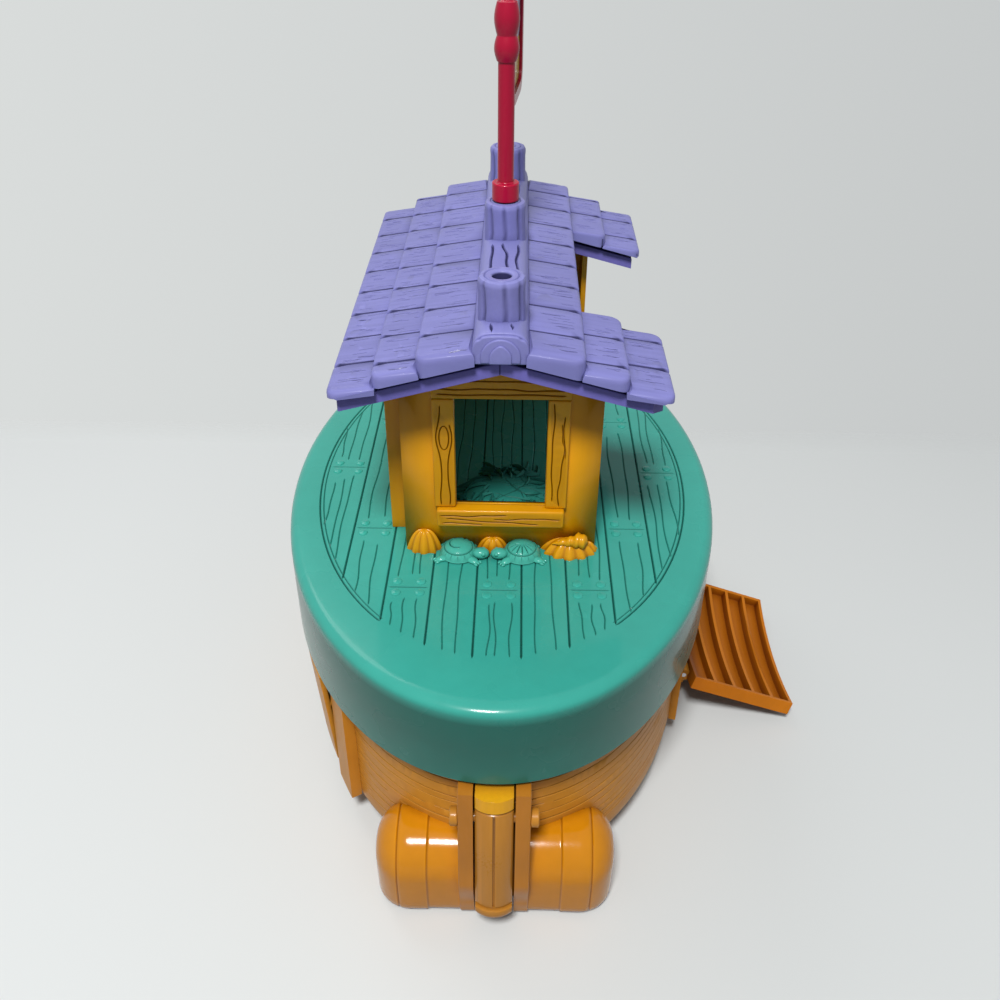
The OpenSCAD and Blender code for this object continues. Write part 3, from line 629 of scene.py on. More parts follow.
# Surfaces on which flat outlines are laid


def facing_front(y):
    return lambda u, v, h: np.column_stack([u, y - h, v])


def facing_back(y):
    return lambda u, v, h: np.column_stack([-u, y + h, v])


def facing_left(x):
    return lambda u, v, h: np.column_stack([x - h, -u, v])


def facing_right(x):
    return lambda u, v, h: np.column_stack([x + h, u, v])


def upwards(z):
    return lambda u, v, h: np.column_stack([u, v, z + h])


# Deck: the joints are given by plank and place along it, the grooves by width and depth

JOINTS = ((-2, -101.4), (0, -102.5), (2, -101.4), (-3, -54.0), (-4, 3.7), (3, -51.4), (4, 2.4),
          (-2, 104.0), (0, 108.0), (2, 104.0), (-3, 58.0), (3, 58.0))
DECK_SEAM, DECK_JOINT, DECK_GRAIN = (1.3, 0.95), (1.1, 0.8), (1.0, 0.5)
SIDE_ARC = (101, 150.5)
NAIL_X, NAIL_Y = 5.8, 4.2
NAIL = ((2.5, -0.3), (2.45, 0.15), (2.1, 0.6), (1.3, 0.85), (0.05, 0.95))
LUG_R, LUG_HALF = 6, 9.2


def field_end(x):
    """Half length of the planked oval at a place across."""
    return FIELD[1] * math.sqrt(max(0.0, 1 - (x / FIELD[0]) ** 2))


def plank_grain(plank, stops):
    """Grain lines of one plank between its ends and its joints."""
    lines = []
    end = field_end(max(0.0, abs(plank) - 0.5) * PLANK + 4) - 4
    bounds = [-end] + sorted(stops) + [end]
    for low, high in zip(bounds, bounds[1:]):
        for place in (-4.2, 3.8) if plank % 2 else (-5.4, -0.2, 5.2):
            x = plank * PLANK + place + rng.uniform(-1.2, 1.2)
            limit = field_end(x) - 0.4
            if low == bounds[0]:
                a = -limit + rng.uniform(0, 2)
            else:
                a = low + 7 + rng.uniform(0, 3)
            if high == bounds[-1]:
                b = limit - rng.uniform(0, 2)
            else:
                b = high - 7 - rng.uniform(0, 0.1) * (high - low)
            long = b - a
            if long > 14:
                line = wavy((x, a), (x, b), 0.9, max(0.6, long / 110), int(long / 5) + 6)
                lines.append((line, *DECK_GRAIN))
    return lines


def make_deck():
    form = Form()
    stretch = HALF_L / HALF_W
    count = 180
    grooves = []
    for k in range(-4, 4):
        x = (k + 0.5) * PLANK
        end = field_end(x)
        grooves.append((straight((x, -end), (x, end), 16), *DECK_SEAM))
    nails = []
    stops = {}
    for plank, y in JOINTS:
        x = plank * PLANK
        grooves.append((straight((x - PLANK / 2 + 0.8, y), (x + PLANK / 2 - 0.8, y), 6), *DECK_JOINT))
        stops.setdefault(plank, []).append(y)
        nails += [(x + a * NAIL_X, y + b * NAIL_Y) for a in (-1, 1) for b in (-1, 1)]
    for plank in range(-4, 5):
        grooves += plank_grain(plank, stops.get(plank, []))
    for side in (-1, 1):
        for step in (0, 4):
            turn = np.linspace(-1.0, 1.0, 52)
            path = np.column_stack([side * (SIDE_ARC[0] - step / 2) * np.cos(turn),
                                    (SIDE_ARC[1] - step / 2) * np.sin(turn)])
            grooves.append((path, 1.2 - step * 0.08, 0.75 - step * 0.06))
    form.sheet(oval(HALF_W - DECK_ROUND, stretch, count), upwards(DECK_Z), grooves)
    skin = [(HALF_W - DECK_ROUND + DECK_ROUND * math.sin(a), DECK_Z - DECK_ROUND + DECK_ROUND * math.cos(a))
            for a in np.radians(np.linspace(0, 90, 8))]
    inner = HALF_W - SKIRT_T
    skin += [(HALF_W, SKIRT_Z + 22), (HALF_W, SKIRT_Z + 0.9), (HALF_W - 0.9, SKIRT_Z),
             (HALF_W - 2.2, SKIRT_Z), (inner, SKIRT_Z + 0.9), (inner, DECK_Z - DECK_T)]
    rings = [np.column_stack([oval(radius, stretch, count), np.full(count, z)]) for radius, z in skin]
    form.rings(rings, caps=(False, True))
    for x, y in nails:
        form.lathe([(r, DECK_Z + up) for r, up in NAIL], (x, y), 14)
    lug = np.concatenate([arc((PIN_Y, PIN_Z), LUG_R, 180, 360, 14),
                          [(PIN_Y + LUG_R, SKIRT_Z), (HALF_L + 1, SKIRT_Z + 22), (HALF_L - 1, SKIRT_Z + 22),
                           (HALF_L - 1, SKIRT_Z), (PIN_Y - LUG_R, SKIRT_Z - 2)]])
    form.slab(lug, facing_right(LUG_HALF), 2 * LUG_HALF, 0.5)
    form.piece("deck_shell", TEAL, "deck", "deck_teal", ("deck_cap",), 30)


# Hull: the doors are given by their two ends along the hull and their top

BILGE, FOOT = 22.0, 0.5
LEFT_DOOR, RIGHT_DOOR = (117.6, -117.6, 89.6), (-56.4, 46.6, 92.6)
DOOR_FOOT = 17.5
LATCH_HALF, LATCH_Z, LATCH_DROP = 9.8, 80.7, 18
STRAKE_FOOT, STRAKE = 22, 17
STRAKE_TOPS = [STRAKE_FOOT + (k - 0.2) * STRAKE for k in (1, 2, 3, 4)]
HULL_T, HULL_RIM_IN, HULL_FOOT_R = 3.0, 4, 70
STRAKE_GROOVE, HULL_GRAIN = (1.1, 0.8), (0.8, 0.45)
UNROLLED_R = 140.0


def make_hull():
    """The planked side, laid out flat: u goes round the oval from the bow and v up along the section."""
    form = Form()
    section = np.concatenate([arc((HULL_R - BILGE, BILGE + FOOT), BILGE, 270, 360, 8),
                              [(HULL_R, 40), (HULL_R, 58), (HULL_R, 76), (HULL_R, 94),
                               (HULL_R - HULL_RIM_IN, 98), (HULL_R - HULL_RIM_IN, HULL_TOP)]])
    run = length_along(section)
    round_all = TURN * UNROLLED_R
    stretch = HULL_L / HULL_R
    count = 168

    def place(u, v, h):
        turn = u / UNROLLED_R + math.pi / 2
        radius = np.interp(v, run, section[:, 0]) + h
        height = np.interp(v, run, section[:, 1])
        return np.column_stack([radius * np.cos(turn), radius * stretch * np.sin(turn), height])

    def at_height(z):
        return run[8] + z - section[8, 1]

    def at_y(y, left):
        turn = math.asin(y / HULL_L)
        return (math.pi - turn if left else TURN + turn) * UNROLLED_R - math.pi / 2 * UNROLLED_R

    def opening(u0, u1, v0, v1, points):
        """A hole with many points along its level sides, so that they keep to the hull's curve."""
        along = np.linspace(u0, u1, points)
        return np.array([(u, v0) for u in along] + [(u, v1) for u in along[::-1]])

    bottom = run[np.searchsorted(section[:9, 1], DOOR_FOOT)]
    stern = math.pi * UNROLLED_R
    slot = LATCH_HALF / HULL_R * UNROLLED_R
    holes = []
    for (y0, y1, top), left, points in ((LEFT_DOOR, True, 60), (RIGHT_DOOR, False, 30)):
        holes.append(opening(at_y(y0, left), at_y(y1, left), bottom, at_height(top), points))
    holes.append(opening(stern - slot, stern + slot, at_height(LATCH_Z), run[-1] - LATCH_DROP, 8))
    grooves = []
    for z in STRAKE_TOPS:
        grooves.append((straight((3, at_height(z)), (round_all - 3, at_height(z)), 200), *STRAKE_GROOVE))
    for low, high in zip([24] + STRAKE_TOPS, STRAKE_TOPS + [93]):
        for share in (0.36, 0.68):
            u = rng.uniform(6, 40)
            while u < round_all - 50:
                length = rng.uniform(90, 190)
                end = min(u + length, round_all - 6)
                v = at_height(low + (high - low) * (share + rng.uniform(-0.06, 0.06)))
                if high - low > 8:
                    grooves.append((wavy((u, v), (end, v), 0.6, length / 90, 30), *HULL_GRAIN))
                u = end + rng.uniform(4, 16)
    across = np.linspace(0, round_all, count + 1)
    extra = [(u, v) for v in run[1:-1] for u in across[1:-1]]
    form.sheet(border(across, run), place, grooves, holes, extra, 0.45)
    form.add(place(across[:-1], np.zeros(count), np.zeros(count)), [tuple(range(count))])
    form.piece("hull_planks", TAN, "hull", "hull_tan", ("hull_shell",), 30, HULL_T)
    base = Form()
    base.lathe([(HULL_FOOT_R, 1.5), (HULL_FOOT_R, 0.4), (HULL_FOOT_R - 0.4, 0)], (0, 0), 72)
    base.piece("hull_foot", TAN, "hull", "hull_tan")


BARREL_Z = 27.0
BARREL_ROUND = 17.0
BARREL_FRONT = (0.1, 0.4, 1.2, 2.4, 4.0, 6.0, 8.5, 12.0, 16.0, 20.0, 24.0)
HOOP_AT, HOOP_HALF, HOOP_DEEP = (0.37, 0.72), 0.7, 0.6


def tuck(z):
    """How far a barrel's front draws back below its middle."""
    share = (BARREL_Z - z) / BARREL_Z
    return 2.0 * share ** 2 + 4.0 * (1 - math.sqrt(1 - max(0.0, 1 - z / 7) ** 2))


def on_hull(points):
    """Keeps a barrel's back just inside the hull."""
    wall = -HULL_L * np.sqrt(1 - np.clip(points[:, 0] / HULL_R, -1, 1) ** 2)
    drop = np.clip((BILGE - points[:, 2]) / BILGE, 0, 1)
    wall = wall * (1 - 0.2 * (1 - np.sqrt(1 - drop ** 2)))
    points[:, 1] = np.minimum(points[:, 1], wall + 1.5)
    return points


def make_barrels():
    low, high = box_mm("stern_barrel_right")
    x0, x1, r = low[0], high[0], high[2] - BARREL_Z
    middle_y = low[1] + r
    hoops = [x0 + share * (x1 - x0) for share in HOOP_AT]
    rounding = np.sin(np.radians(np.linspace(0, 90, 16)))
    xs = np.unique(np.concatenate([np.linspace(x0, x1 - BARREL_ROUND, 20), x1 - BARREL_ROUND * (1 - rounding),
                                   [h + d for h in hoops for d in (-HOOP_HALF, 0.0, HOOP_HALF)]]))

    def hooped(x, h):
        return max(0.0, 1 - abs(x - h) / HOOP_HALF)

    def radius(x):
        past = max(0.0, x - x1 + BARREL_ROUND)
        out = r - BARREL_ROUND + math.sqrt(max(0.0, BARREL_ROUND ** 2 - past ** 2))
        step = 0.7 if x < hoops[0] else 0.0
        return out - sum(HOOP_DEEP * hooped(x, h) for h in hoops) - step

    over = np.radians(np.linspace(0, 180, 33))
    for side, node in ((-1, "stern_barrel_left"), (1, "stern_barrel_right")):
        form = Form()
        rings, groove = [], []
        for x in xs:
            wide = radius(x)
            ring = [(middle_y - wide * math.cos(a), BARREL_Z + wide * math.sin(a)) for a in over]
            ring += [(middle_y + wide, BARREL_Z * f) for f in (0.7, 0.3, 0.08)] + [(middle_y + wide - 2, 0.2)]
            ring += [(middle_y - wide + tuck(z), z) for z in BARREL_FRONT]
            rings.append(np.array([(side * x, y, z) for y, z in ring]))
            groove.append([0.55 * max(hooped(x, h) for h in hoops)] * len(ring))
        form.rings(rings, caps=(True, True), groove=np.concatenate(groove))
        form.piece(node + "_staves", BARREL, "hull", "barrel_amber", (node,), 40, clip=on_hull)


CHEEK_FACE, CHEEK_BACK, CHEEK_KNEE, CHEEK_INNER = -186.0, -171.0, 35.0, 9.7
CHEEK_RAKE = math.tan(math.radians(7.6))
WEB_Y, WEB_TOP, WEB_T = -176, 62, 5


def make_bracket():
    """Two cheeks beside the lever, running down into the barrel ends, and the web between them."""
    form = Form()
    half, _, top = box_mm("stern_bracket")[1]
    front = box_mm("stern_barrel_right")[0][1]
    out = front - CHEEK_FACE + (top - CHEEK_KNEE) * CHEEK_RAKE
    bend = [(front - out * 0.5 * (1 + math.cos(math.pi * t)), CHEEK_KNEE - (CHEEK_KNEE - 10) * t)
            for t in np.linspace(0, 1, 9)]
    foot = [(front + tuck(z) - 0.3, z) for z in BARREL_FRONT[6::-1]]
    cheek = np.array([(CHEEK_BACK, top), (CHEEK_FACE, top), *bend, *foot, (CHEEK_BACK, 0.1)])
    form.slab((cheek * (-1, 1))[::-1], facing_left(-half), half - CHEEK_INNER, 0.7)
    form.slab(cheek, facing_right(half), half - CHEEK_INNER, 0.7)
    web = square(-CHEEK_INNER - 0.5, CHEEK_INNER + 0.5, 0.2, WEB_TOP)
    form.slab(web, facing_front(WEB_Y), WEB_T, 0.5)
    form.piece("stern_bracket_cheeks", BRACKET, "hull", "hull_tan", ("stern_bracket",), 36)


# Cabin

BOARD_ROWS = 6
BACK_PITCH, BACK_TOP = 16.1, 234
BOARD_SEAM = (1.3, 0.9)
KNOT_UP, KNOT, KNOT_GROOVE = 40, (2.3, 6.6), (0.8, 0.65)
SILL_H = 10


def roof_line(x):
    return CEIL_Z - UNDER_SLOPE * abs(x) - 0.05


def gable(u0, u1, foot):
    """A wall's outline under the roof's two slopes."""
    return np.array([(u0, foot), (u1, foot), (u1, roof_line(u1)), (0, roof_line(0)), (u0, roof_line(u0))])


def grain_lines(u0, u1, v0, v1):
    """Two level lines that wander along a board."""
    lines = []
    for k in range(2):
        share = (k + 0.5 + rng.uniform(-0.2, 0.2)) / 2
        a, b = rng.uniform(0.03, 0.2), rng.uniform(0.8, 0.97)
        v = v0 + (v1 - v0) * share
        ends = (u0 + (u1 - u0) * a, v), (u0 + (u1 - u0) * b, v + rng.uniform(-0.6, 0.6))
        size = np.linalg.norm(np.subtract(*ends))
        lines.append((wavy(*ends, 0.9, max(1.0, size / 45), int(size / 3) + 6), 0.9, 0.5))
    return lines


def board_lines(u0, u1, seams, points, limit):
    """Seams and grain of level boards between the heights of their seams."""
    lines = []
    for k, (z0, z1) in enumerate(zip(seams, seams[1:])):
        if k:
            lines.append((straight((u0, z0), (u1, z0), points), *BOARD_SEAM))
        lines += grain_lines(u0, u1, z0, min(z1, limit))
    return lines


def knot_lines(middle):
    """A knot and the two lines that bow round it, for the left jamb."""
    knot = WINDOW_Z0 + KNOT_UP
    lines = [(loop((middle + 0.3, knot), KNOT, 28), *KNOT_GROOVE)]
    for way, top in ((-1, WINDOW_Z1 - 3), (1, knot + 8)):
        bow = [(middle + 0.3 + way * (1.5 + 2.3 * math.exp(-((v - knot) / 9) ** 2)
                                      + 0.9 * math.exp(-((v - WINDOW_Z0 - 6) / 7) ** 2)), v)
               for v in np.linspace(WINDOW_Z0 + 1, top, 34)]
        lines.append((np.array(bow), *KNOT_GROOVE))
    return lines


def make_window():
    """The front wall and the wooden trim round its window."""
    low, high = WINDOW_Z0, WINDOW_Z1
    edge = WINDOW_HALF + JAMB_W
    trim = facing_front(FRONT_Y - TRIM_T)
    wall = Form()
    wall.sheet(gable(-BAY_HALF, BAY_HALF, DECK_Z), facing_front(FRONT_Y), (),
               [square(-WINDOW_HALF, WINDOW_HALF, low, high)])
    wall.piece("cabin_front_wall", CABIN, "deck", "cabin_amber", ("cabin_front",), 30, WALL_T)

    for side, name in ((-1, "left"), (1, "right")):
        jamb = Form()
        u0, u1 = sorted((side * WINDOW_HALF, side * edge))
        middle = (u0 + u1) / 2
        # drawn for both jambs, which keeps the later random lines as they are
        lines = [(wavy((middle - 2.4, low + 4), (middle - 2.6, high - 1), 0.5, 1.2, 30), 0.8, 0.6),
                 (wavy((middle + 1.2, low + 1), (middle + 3.0, high - 8), 0.9, 1.3, 30), 0.8, 0.6),
                 (wavy((middle + 3.4, high - 32), (middle + 1.6, high - 12), 0.7, 1.0, 14), 0.8, 0.5)]
        if side < 0:
            lines = knot_lines(middle)
        jamb.slab(rounded(u0, u1, low, high, 0.8, 2), trim, TRIM_T + 0.2, 0.8, lines)
        jamb.piece("window_jamb_" + name, CABIN, "deck", "cabin_amber")

    top = Form()
    lines = [(wavy((-edge + 2, z), (edge - 2, z + rng.uniform(-0.5, 0.5)), sway, waves, 40), 1.0, 0.6)
             for z, sway, waves in ((high + 2.6, 0.3, 1.2), (high + 5.6, 0.5, 1.6), (high + 9.4, 0.5, 1.2))]
    top.slab(gable(-edge, edge, high + 0.2), trim, TRIM_T + 0.2, 0.7, lines)
    top.piece("window_lintel", CABIN, "deck", "cabin_amber")

    sill = Form()
    s0, s1 = -edge + 1, edge - 1
    lines = [(wavy((s0 + 1, low - 3.4), (4, low - 3.0), 0.5, 1.2, 24), 1.1, 0.8),
             (wavy((s0 + 4, low - 4.8), (s1 - 12, low - 8.2), 0.4, 1.0, 34), 1.1, 0.8),
             (wavy((-4, low - 5.2), (s1 - 1, low - 4.4), 0.4, 1.3, 24), 1.1, 0.8),
             (wavy((s0 + 2, low - 7.6), (-8, low - 8.0), 0.3, 1.0, 20), 1.0, 0.7)]
    board = rounded(s0, s1, low - SILL_H, low, 1.2, 3)
    sill.slab(board, facing_front(FRONT_Y - SILL_T), SILL_T + 0.2, 1.1, lines)
    sill.piece("window_sill", CABIN, "deck", "cabin_amber")


def make_walls():
    """The bay's sides and wing, the boarded left wall and the boarded back with its return."""
    bay = Form()
    y0, y1 = FRONT_Y + 0.4, FRONT_Y + BAY_D + WALL_T
    bay.slab(square(-y1, -y0, DECK_Z, roof_line(BAY_HALF)), facing_left(-BAY_HALF), WALL_T, 0.4)
    bay.slab(square(y0, y1, DECK_Z, roof_line(BAY_HALF)), facing_right(BAY_HALF), WALL_T, 0.4)
    wing = square(WALL_LO[0], -BAY_HALF + 2, DECK_Z, roof_line(WALL_LO[0]))
    bay.slab(wing, facing_front(FRONT_Y + BAY_D), WALL_T, 0.4)
    bay.piece("cabin_bay", CABIN, "deck", "cabin_amber")

    left = Form()
    u0, u1, top = -WALL_HI[1], -WALL_LO[1], WALL_HI[2] - 0.05
    seams = [DECK_Z + k * (top - DECK_Z) / BOARD_ROWS for k in range(BOARD_ROWS + 1)]
    lines = board_lines(u0 + 2, u1 - 2, seams, 20, top)
    left.slab(square(u0, u1, DECK_Z, top), facing_left(WALL_LO[0]), WALL_T, 0.5, lines)
    left.piece("cabin_left_boards", CABIN, "deck", "cabin_amber", ("cabin_left_wall",), 30)

    back = Form()
    x0, x1 = BACK_LO[0], BACK_HI[0]
    seams = [DECK_Z + k * BACK_PITCH for k in range(BOARD_ROWS + 1)]
    lines = board_lines(-x1 + 2, -x0 - 2, seams, 16, BACK_TOP)
    back.slab(gable(-x1, -x0, DECK_Z), facing_back(BACK_HI[1]), WALL_T, 0.5, lines)
    back.slab(square(BACK_LO[1], BACK_HI[1] - 0.4, DECK_Z, roof_line(x1)), facing_right(x1), WALL_T, 0.4)
    back.piece("cabin_back_boards", CABIN, "deck", "cabin_amber", ("cabin_back_wall",), 30)


# Relief figures and straw

TURTLE_R, TURTLE_TALL, TURTLE_Y = 9.4, 6.9, FRONT_Y - 4.75
# place ahead, across and up from the middle, and the radii
HEAD, NECK = ((11.4, -3.2, 2.4), (4.4, 3.4, 2.9)), ((8.6, -2.2, 1.8), (3.4, 2.5, 2.2))
EYE_AT, EYE_APART, EYE, PUPIL = (12.7, -3.6, 3.6), 2.3, (1.15, 0.9, 1.15), (0.5, 0.3, 0.5)
PAW, TOE = (4.4, 2.4, 1.5), (1.3, 0.75, 0.9)
# place ahead and across, the way a foot points and its size
FEET = ((6.8, -6.4, -0.7, 1.0), (-7.4, -5.4, -2.6, 0.95), (6.4, 5.0, 0.9, 1.0), (-7, 4.4, 2.3, 0.8))
SHELL_RING, CURL_OUT, CURL_IN, CURL_TURN = 0.78, 0.62, 0.055, 4.6


def behind_wall(points):
    """Keeps a figure's back inside the cabin's front wall."""
    points[:, 1] = np.minimum(points[:, 1], FRONT_Y + 1)
    points[:, 2] = np.maximum(points[:, 2], DECK_Z - 0.5)
    return points


def shell_grooves(r, face, curled):
    """A ring, a spiral or spokes within it, and short spokes round the rim."""
    grooves = [(loop((0, 0), (SHELL_RING * r, SHELL_RING * r), 44), 0.8, 0.5)]
    if curled:
        curl = []
        for t in np.linspace(0, CURL_TURN, 30):
            away = r * (CURL_OUT - CURL_IN * t)
            curl.append((away * math.cos(t * face + 0.6), away * math.sin(t * face + 0.6)))
        grooves.append((np.array(curl), 0.9, 0.6))
    rows = [] if curled else [(np.arange(195, 360, 26), 0.12, SHELL_RING, 8, 0.55)]
    for angles, start, end, points, deep in rows + [(np.arange(6, 366, 24), 0.76, 0.98, 4, 0.5)]:
        for a in np.radians(angles):
            spoke = np.array([math.cos(a), math.sin(a)])
            grooves.append((straight(spoke * start * r, spoke * end * r, points), 0.8, deep))
    return grooves


def make_turtle(node, x, face, curled):
    """A turtle whose head looks to the right (1) or to the left (-1)."""
    form = Form()
    r, y = TURTLE_R, TURTLE_Y

    def dome(u, v, h):
        share = np.clip((u ** 2 + v ** 2) / r ** 2, 0, 1)
        height = DECK_Z + 1 + (TURTLE_TALL - 1) * (1 - share) ** 0.62 + h
        return np.column_stack([x + u * (1 + h * 0.03), y + v * (1 + h * 0.03), height])

    rim = oval(r, 1, 48)
    more = polar(r, (0.15, 0.3, 0.55, 0.68, 0.88, 0.95), 12)
    form.sheet(rim, dome, shell_grooves(r, face, curled), (), more)
    rings = [np.column_stack([x + s * rim[:, 0], y + s * rim[:, 1], np.full(48, DECK_Z + z)])
             for s, z in ((1, 1), (1.03, 0.6), (0.98, 0.1), (0.9, -0.4))]
    form.rings(rings, caps=(False, True))
    for (ahead, across, up), radii, rows, count in ((*HEAD, 8, 18), (*NECK, 6, 14)):
        form.ball((x + face * ahead, y + across, DECK_Z + up), radii, None, rows, count)
    for side in (-1, 1):
        eye = np.array([x + face * EYE_AT[0], y + EYE_AT[1] + side * EYE_APART, DECK_Z + EYE_AT[2]])
        form.ball(eye, EYE, None, 6, 12)
        form.ball(eye + (face * 0.3, side * 0.75, 0.2), PUPIL, None, 5, 8)
    for dx, dy, turn, size in FEET:
        way = np.array([math.cos(turn) * face, math.sin(turn), 0])
        axes = np.array([way, [-way[1], way[0], 0], [0, 0, 1]])
        foot = np.array([x + face * dx, y + dy, DECK_Z + 0.7])
        form.ball(foot, (PAW[0] * size, PAW[1] * size, PAW[2]), axes, 6, 14)
        for toe in (-1, 0, 1):
            tip = foot + way * 4.2 * size + axes[1] * toe * 1.5 - (0, 0, 0.3)
            form.ball(tip, TOE, axes, 5, 8)
    form.piece(node + "_figure", TURTLE, "deck", "deck_teal", (node,), 40, clip=behind_wall)


def scallop(form, middle, size, tall, ribs):
    """A ribbed fan shell that leans on the wall: its ribs run down from the hinge to the deck."""
    fan = np.radians(np.linspace(-96, 96, 73))
    wave = np.cos(2 * ribs * fan)
    rings, groove = [], []
    for share in np.linspace(0, 1, 12):
        reach = size * share ** 0.75 * (1 + 0.07 * share * wave) + 0.2
        high = tall * (1 - share ** 2.2) + 0.35 * min(1, 3 * share) * wave * (1 - 0.6 * share)
        rings.append(np.column_stack([middle[0] + reach * np.sin(fan), middle[1] - 0.72 * reach * np.cos(fan),
                                      middle[2] + high]))
        groove.append(np.clip(-wave - 0.45, 0, 1) * min(1, 2 * share))
    rings.append(rings[-1] - (0, 0, 1.2))
    groove.append(groove[-1])
    form.rings(rings, False, groove=np.concatenate(groove))


def conch(form, middle, axis, size, long):
    """A spiral shell: whorls that shrink towards the tip."""
    axis = np.array(axis, float) / np.linalg.norm(axis)
    side = np.cross(axis, (0, 0, 1))
    side /= np.linalg.norm(side)
    up = np.cross(side, axis)
    turn = np.arange(24) * TURN / 24
    rings = []
    for t in np.linspace(0, 1, 40):
        swell = math.sin(math.pi * min(1.0, t * 1.6 + 0.12)) if t < 0.24 else (1 - t) ** 0.9 * 1.12
        wide = size * swell + 0.15
        whorl = 1 + 0.13 * np.cos(TURN * 4.5 * t - turn)
        spot = np.asarray(middle) + axis * long * t
        across = np.outer(np.cos(turn) * wide * whorl, side)
        rings.append(spot + across + np.outer(np.sin(turn) * wide * whorl, up))
    form.rings(rings, caps=(True, True))


# place across, back from the front and up, then size, height and ribs
SCALLOPS = ((-38.6, 1.5, 0.3, 8.6, 11.0, 5), (-3.8, 1.5, 0.2, 7.2, 6.6, 4),
            (35.2, 2.0, 0.2, 13.5, 7.2, 6), (44.2, 1.5, 0.2, 5.0, 5.0, 3))
CONCH_X, CONCH_AHEAD, CONCH_UP, CONCH_WAY, CONCH_R, CONCH_LONG = 44.0, 2.6, 9.0, (-1, 0.0, -0.16), 4.0, 18


def make_shells():
    form = Form()
    front = FRONT_Y - 1.5
    for x, back, up, size, tall, ribs in SCALLOPS:
        scallop(form, (x, front + back, DECK_Z + up), size, tall, ribs)
    conch(form, (CONCH_X, front - CONCH_AHEAD, DECK_Z + CONCH_UP), CONCH_WAY, CONCH_R, CONCH_LONG)
    form.piece("shells_pile", SHELL, "deck", "cabin_amber", ("shells",), 40, clip=behind_wall)


STRAW_X, STRAW_Y, STRAW_R, STRAW_TALL = 4.0, -23.1, 25.8, 6.8
STRAW_COUNT, STRAW_LONG = 80, (8, 17)
BLADE_W, BLADE_UP, BLADE_BEND = 0.95, 1.3, 0.4


def in_cabin(points):
    """Keeps the straw on the deck and between the cabin's walls."""
    points[:, 0] = np.clip(points[:, 0], -BAY_HALF + 8, BAY_HALF - 4)
    points[:, 1] = np.clip(points[:, 1], FRONT_Y + WALL_T + 1.5, 60)
    points[:, 2] = np.clip(points[:, 2], DECK_Z - 0.2, DECK_Z + STRAW_TALL + 0.15)
    return points


def make_straw():
    """A low mound with blades lying over it."""
    form = Form()
    r = STRAW_R
    lines = []
    for _ in range(9):
        start = (rng.uniform(-18, 6), rng.uniform(-16, 16))
        end = (rng.uniform(8, 20), rng.uniform(-14, 14))
        lines.append((wavy(start, end, 1.0, 1.2, 16), 0.9, 0.5))

    def dome(u, v, h):
        share = np.clip((u ** 2 + v ** 2) / r ** 2, 0, 1)
        height = DECK_Z + STRAW_TALL * (1 - share) ** 0.8 + h * (1 - share)
        return np.column_stack([STRAW_X + u, STRAW_Y + v, height])

    form.sheet(oval(r, 1, 60), dome, lines, (), polar(r, (0.2, 0.4, 0.6, 0.75, 0.88, 0.96), 10))
    for _ in range(STRAW_COUNT):
        turn = rng.uniform(0, TURN)
        away = r * rng.uniform(0.35, 0.95)
        start = (STRAW_X + away * math.cos(turn), STRAW_Y + away * math.sin(turn))
        lie = turn + rng.uniform(-1.0, 1.0)
        long = rng.uniform(*STRAW_LONG)
        rings = []
        for t in np.linspace(0, 1, 6):
            x = start[0] + long * t * math.cos(lie + BLADE_BEND * t)
            y = start[1] + long * t * math.sin(lie + BLADE_BEND * t)
            share = ((x - STRAW_X) ** 2 + (y - STRAW_Y) ** 2) / r ** 2
            ground = DECK_Z + STRAW_TALL * max(0.0, 1 - share) ** 0.8
            wide = BLADE_W * math.sin(math.pi * (0.12 + 0.83 * t))
            lift = 0.3 + BLADE_UP * math.sin(math.pi * t)
            dx, dy = -math.sin(lie) * wide, math.cos(lie) * wide
            low = ground + lift * 0.4
            rings.append(np.array([(x + dx, y + dy, low), (x, y, ground + lift + wide * 0.9),
                                   (x - dx, y - dy, low), (x, y, ground - 0.3)]))
        form.rings(rings, caps=(True, True))
    form.piece("straw_blades", STRAW, "deck", "deck_teal", ("straw_bed",), 30, clip=in_cabin)


# Roof

FIRST_SEAM = (ROOF_Y0 + 21, ROOF_Y0 + 10.5, ROOF_Y0 + 25)
SHINGLE = 27.0
SHINGLE_TOP, SHINGLE_GAP, SHINGLE_LIFT = -1.5, 0.22, 0.5
SHINGLE_BEVEL, SHINGLE_DROP, SHINGLE_ROUND = (1.5, 0.7), 1.5, 5.0
SHINGLE_GRAIN = (0.75, 0.32)
END_ROUND, END_DROP = 6.0, 2.9
CORE_DOWN, CORE_IN = 2.2, 1.2


def course_top(index, x):
    """Height of a course's upper side."""
    return RIDGE_Z - (x - COURSE_X[0]) * TOP_SLOPE - index * COURSE_STEP


def end_sink(y):
    """How far the upper side has sunk at the roof's rounded ends."""
    near = np.minimum(y - ROOF_Y0, ROOF_Y1 - y)
    return END_DROP * (1 - np.sqrt(1 - np.clip(1 - near / END_ROUND, 0, 1) ** 2))


def round_notch(side, low, high, part, full, short):
    """What fills a slope: one span, or three on the right, where the middle one is short for the notch."""
    if side < 0:
        return [(low, high, full)]
    a, b = NOTCH_Y0 - part, NOTCH_Y1 + part
    return [(low, a, full), (a, b, short), (b, high, full)]


def shingle_outline(u0, u1, v0, v1, end_a, end_b):
    """A shingle from above: square upper corners, and lower ones with a nick, or round at an end."""
    r = SHINGLE_ROUND

    def corner(v, way, end):
        if end:
            start = -90 if way < 0 else 0
            return arc((u1 - r, v - way * r), r, start, start + 90, 6)
        nick = [(u1 - 6.0, v), (u1 - 2.4, v - way * 0.7), (u1 - 0.5, v - way * 1.2), (u1, v - way * 1.7)]
        return np.array(nick if way < 0 else nick[::-1])

    return np.concatenate([[(u0, v0)], corner(v0, -1, end_a), corner(v1, 1, end_b), [(u0, v1)]])


